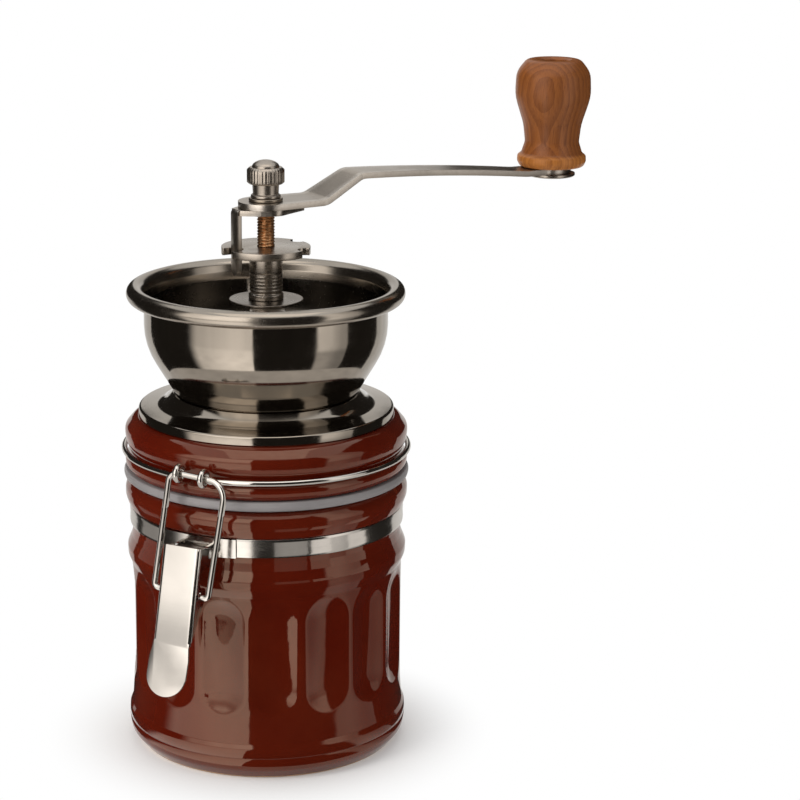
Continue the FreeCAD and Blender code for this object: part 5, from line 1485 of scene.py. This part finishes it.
def ring_card(name, camera_side, start, end, steps, profile):
    """A sheet round the axis, start to end degrees beside the camera; profile is [(distance, height)]."""
    first = camera_side + math.radians(start)
    span = math.radians(end - start)

    def place(i, j):
        turn = first + span * i / steps
        distance, height = profile[j]
        return Vector((distance * math.sin(turn), -distance * math.cos(turn), height))

    return surface(name, steps, len(profile) - 1, place)


def hide_card(card, material):
    """Gives a card its material, and keeps it to the reflections alone."""
    card.data.materials.append(bpy.data.materials[material])
    card.visible_camera = False
    card.visible_diffuse = False
    card.visible_transmission = False
    card.visible_shadow = False


class GRINDER_OT_set_stage(bpy.types.Operator):
    """Set up the floor, the soft light, the cards that reflections show, and the camera"""
    bl_idname = "grinder.set_stage"
    bl_label = "Set Stage"

    def execute(self, context):
        stage = context.scene.grinder_stage
        context.scene.view_settings.view_transform = "Standard"
        self.add_floor(stage)
        self.add_world(context)
        self.add_ring_cards(stage)
        self.add_overhead_card(stage)
        self.add_sheen_card(stage)
        self.add_band_cards(stage)
        self.add_lamps(stage)
        self.add_camera(context, stage)
        return {"FINISHED"}

    def add_floor(self, stage):
        """A floor that keeps the shadow near the object and is white further out."""
        deselect()
        bpy.ops.mesh.primitive_circle_add(vertices=128, radius=3.0, fill_type="NGON")
        floor = bpy.context.object
        floor.name = "studio_floor"
        tree, shader, place = new_material("floor_paint")
        grain = noise(tree, place, 300.0, 2.0)
        shading(tree, shader, base_color=(0.98, 0.98, 0.98), roughness=0.6, specular_ior_level=0.0,
                normal=bump(tree, grain, 0.00005))
        fade = spread(tree, vector_node(tree, "LENGTH", place), stage.fade_start, stage.fade_end)
        glowing = math_node(tree, "MULTIPLY", fade, seen_ray(tree))
        show(tree, mixed_shaders(tree, glowing, shader, glow_node(tree, (1.0, 1.0, 1.0), 1.0)))
        floor.data.materials.append(bpy.data.materials["floor_paint"])

    def add_world(self, context):
        world = bpy.data.worlds.new("studio_world")
        context.scene.world = world
        world.use_nodes = True
        tree = world.node_tree
        light = tree.nodes["Background"]
        wire(tree, light, "color", (1.0, 0.985, 0.965))
        wire(tree, light, "strength", 0.36)
        backdrop = put(tree, "ShaderNodeBackground", None, color=(1.0, 1.0, 1.0), strength=1.0)
        show(tree, mixed_shaders(tree, seen_ray(tree), light, backdrop), "World Output")

    def add_ring_cards(self, stage):
        """Cards round the object that only reflections see: bright windows, dark walls and a pale back."""
        lift = 0.001
        near, far, middle, top = stage.card_start, stage.card_distance, stage.back_height, stage.card_height
        whole = [(near, lift), (far, lift), (far, top)]
        low = [(near, lift), (far, lift), (far, middle)]
        high = [(far, middle), (far, top)]
        glow_cloth("wall_cloth", (0.026, 0.023, 0.020), 1.0)
        glow_cloth("pale_cloth", (1.0, 0.97, 0.93), 0.8)
        window_light("left_window", stage.camera_side, [(-75.0, -63.0, 1.3), (-60.0, -36.0, 0.6)],
                     dip_between)
        window_light("right_window", stage.camera_side, [(44.0, 48.0, 1.2), (55.0, 72.0, -0.55)],
                     dip_at_floor)
        cards = [
            ("pale_cloth", -165.0, -132.0, low), ("wall_cloth", -165.0, -132.0, high),
            ("wall_cloth", -132.0, -75.0, whole), ("left_window", -75.0, -12.0, whole),
            ("wall_cloth", -12.0, 44.0, whole), ("right_window", 44.0, 78.0, whole),
            ("wall_cloth", 78.0, 122.0, whole), ("pale_cloth", 122.0, 165.0, low),
            ("wall_cloth", 122.0, 165.0, high), ("pale_cloth", 165.0, 195.0, high),
        ]
        for number, (material, start, end, profile) in enumerate(cards, start=1):
            name = "{}_card_{}".format(material.split("_")[0], number)
            steps = max(2, round((end - start) / 6.0))
            card = ring_card(name, stage.camera_side, start, end, steps, profile)
            hide_card(card, material)

    def add_overhead_card(self, stage):
        wide, deep, ahead, height = 0.56, 0.42, 0.40, 0.74
        card = surface("overhead_card", 1, 1,
                       lambda i, j: Vector((wide * (i - 0.5), deep * j - ahead, height)))
        moved(card, Matrix.Rotation(stage.camera_side, 4, "Z"))
        glow_cloth("overhead_cloth", WARM_LIGHT, 2.0)
        hide_card(card, "overhead_cloth")

    def add_sheen_card(self, stage):
        """A pale cone below the lid that the bowl's round side reflects, as it does a lit table top."""
        profile = [(stage.sheen_inner, stage.sheen_top), (stage.sheen_outer, stage.sheen_foot)]
        cone = ring_card("sheen_card", 0.0, 0.0, 360.0, 72, profile)
        if cone.data.polygons[0].normal.z < 0.0:
            cone.data.flip_normals()
        one_sided_cloth("sheen_cloth", 0.80)
        hide_card(cone, "sheen_cloth")

    def add_band_cards(self, stage):
        """Narrow cards close round the neck, which light the steel band alone."""
        one_sided_cloth("faint_cloth", 0.40)
        one_sided_cloth("strong_cloth", 1.0)
        radius = stage.neck_card_radius
        profile = [(radius, stage.neck_card_foot), (radius, stage.neck_card_top)]
        cards = [
            ("faint_cloth", -91.0, -68.0), ("faint_cloth", 4.0, 22.5),
            ("strong_cloth", 24.5, 36.5), ("strong_cloth", 48.0, 62.0),
        ]
        for number, (material, start, end) in enumerate(cards, start=1):
            card = ring_card("neck_card_{}".format(number), stage.camera_side, start, end, 4, profile)
            face = card.data.polygons[0]
            if face.normal.dot(face.center) > 0.0:
                card.data.flip_normals()
            hide_card(card, material)

    def add_lamps(self, stage):
        """Soft lamps, as (name, side from the camera, height, distance, size, power)."""
        lamps = [
            ("key_softbox", -58.0, 0.60, 0.85, 0.50, 6.0),
            ("fill_softbox", 66.0, 0.40, 0.95, 0.55, 1.3),
            ("top_softbox", 170.0, 0.95, 0.35, 0.55, 2.0),
        ]
        aim = Vector((0.0, 0.0, 0.11))
        for name, side, height, distance, size, power in lamps:
            light = bpy.data.lights.new(name, "AREA")
            light.shape = "RECTANGLE"
            light.size = size
            light.size_y = size * 1.3
            light.energy = power
            light.color = (1.0, 0.97, 0.93)
            lamp = bpy.data.objects.new(name, light)
            bpy.context.scene.collection.objects.link(lamp)
            lamp.visible_glossy = False
            turn = stage.camera_side + math.radians(side)
            lamp.location = (distance * math.sin(turn), -distance * math.cos(turn), height)
            lamp.rotation_euler = (aim - lamp.location).to_track_quat("-Z", "Y").to_euler()

    def add_camera(self, context, stage):
        data = bpy.data.cameras.new("photo_camera")
        data.sensor_width = 36.0
        data.lens = stage.lens
        data.clip_start = 0.01
        data.clip_end = 20.0
        camera = bpy.data.objects.new("photo_camera", data)
        context.scene.collection.objects.link(camera)
        yaw, pitch, roll = stage.yaw, stage.pitch, stage.roll
        ahead = Vector((math.sin(yaw) * math.cos(pitch), math.cos(yaw) * math.cos(pitch), -math.sin(pitch)))
        right = Vector((math.cos(yaw), -math.sin(yaw), 0.0))
        above = right.cross(ahead)
        rolled_right = right * math.cos(roll) + above * math.sin(roll)
        rolled_above = above * math.cos(roll) - right * math.sin(roll)
        facing = Matrix((rolled_right, rolled_above, -ahead)).transposed().to_4x4()
        place = Matrix.Translation((0.0, -stage.camera_distance, stage.camera_height))
        camera.matrix_world = Matrix.Rotation(stage.camera_side, 4, "Z") @ place @ facing
        context.scene.camera = camera


OPERATORS = (
    GRINDER_OT_make_materials,
    GRINDER_OT_add_jar,
    GRINDER_OT_add_lid,
    GRINDER_OT_add_latch,
    GRINDER_OT_add_hopper,
    GRINDER_OT_add_bearing,
    GRINDER_OT_add_shaft,
    GRINDER_OT_add_crank,
    GRINDER_OT_add_nut,
    GRINDER_OT_add_knob,
    GRINDER_OT_dress_nodes,
    GRINDER_OT_set_stage,
)


class GRINDER_PT_pieces(bpy.types.Panel):
    """Lists the steps that build the grinder, and its sizes and colours"""
    bl_idname = "GRINDER_PT_pieces"
    bl_label = "Coffee Grinder"
    bl_space_type = "VIEW_3D"
    bl_region_type = "UI"
    bl_category = "Grinder"

    def draw(self, context):
        for step in OPERATORS:
            self.layout.operator(step.bl_idname)
        for name, group in GROUPS.items():
            box = self.layout.box()
            box.label(text=name.replace("_", " ").capitalize())
            for field in group.__annotations__:
                box.prop(getattr(context.scene, name), field)


def register():
    for group in GROUPS.values():
        bpy.utils.register_class(group)
    for step in OPERATORS:
        bpy.utils.register_class(step)
    bpy.utils.register_class(GRINDER_PT_pieces)
    for name, group in GROUPS.items():
        setattr(bpy.types.Scene, name, PointerProperty(type=group))


def unregister():
    for name in GROUPS:
        delattr(bpy.types.Scene, name)
    bpy.utils.unregister_class(GRINDER_PT_pieces)
    for step in reversed(OPERATORS):
        bpy.utils.unregister_class(step)
    for group in GROUPS.values():
        bpy.utils.unregister_class(group)


def main():
    register()
    bpy.ops.grinder.make_materials()
    bpy.ops.grinder.add_jar()
    bpy.ops.grinder.add_lid()
    bpy.ops.grinder.add_latch()
    bpy.ops.grinder.add_hopper()
    bpy.ops.grinder.add_bearing()
    bpy.ops.grinder.add_shaft()
    bpy.ops.grinder.add_crank()
    bpy.ops.grinder.add_nut()
    bpy.ops.grinder.add_knob()
    bpy.ops.grinder.dress_nodes()
    bpy.ops.grinder.set_stage()


if __name__ == "__main__":
    main()
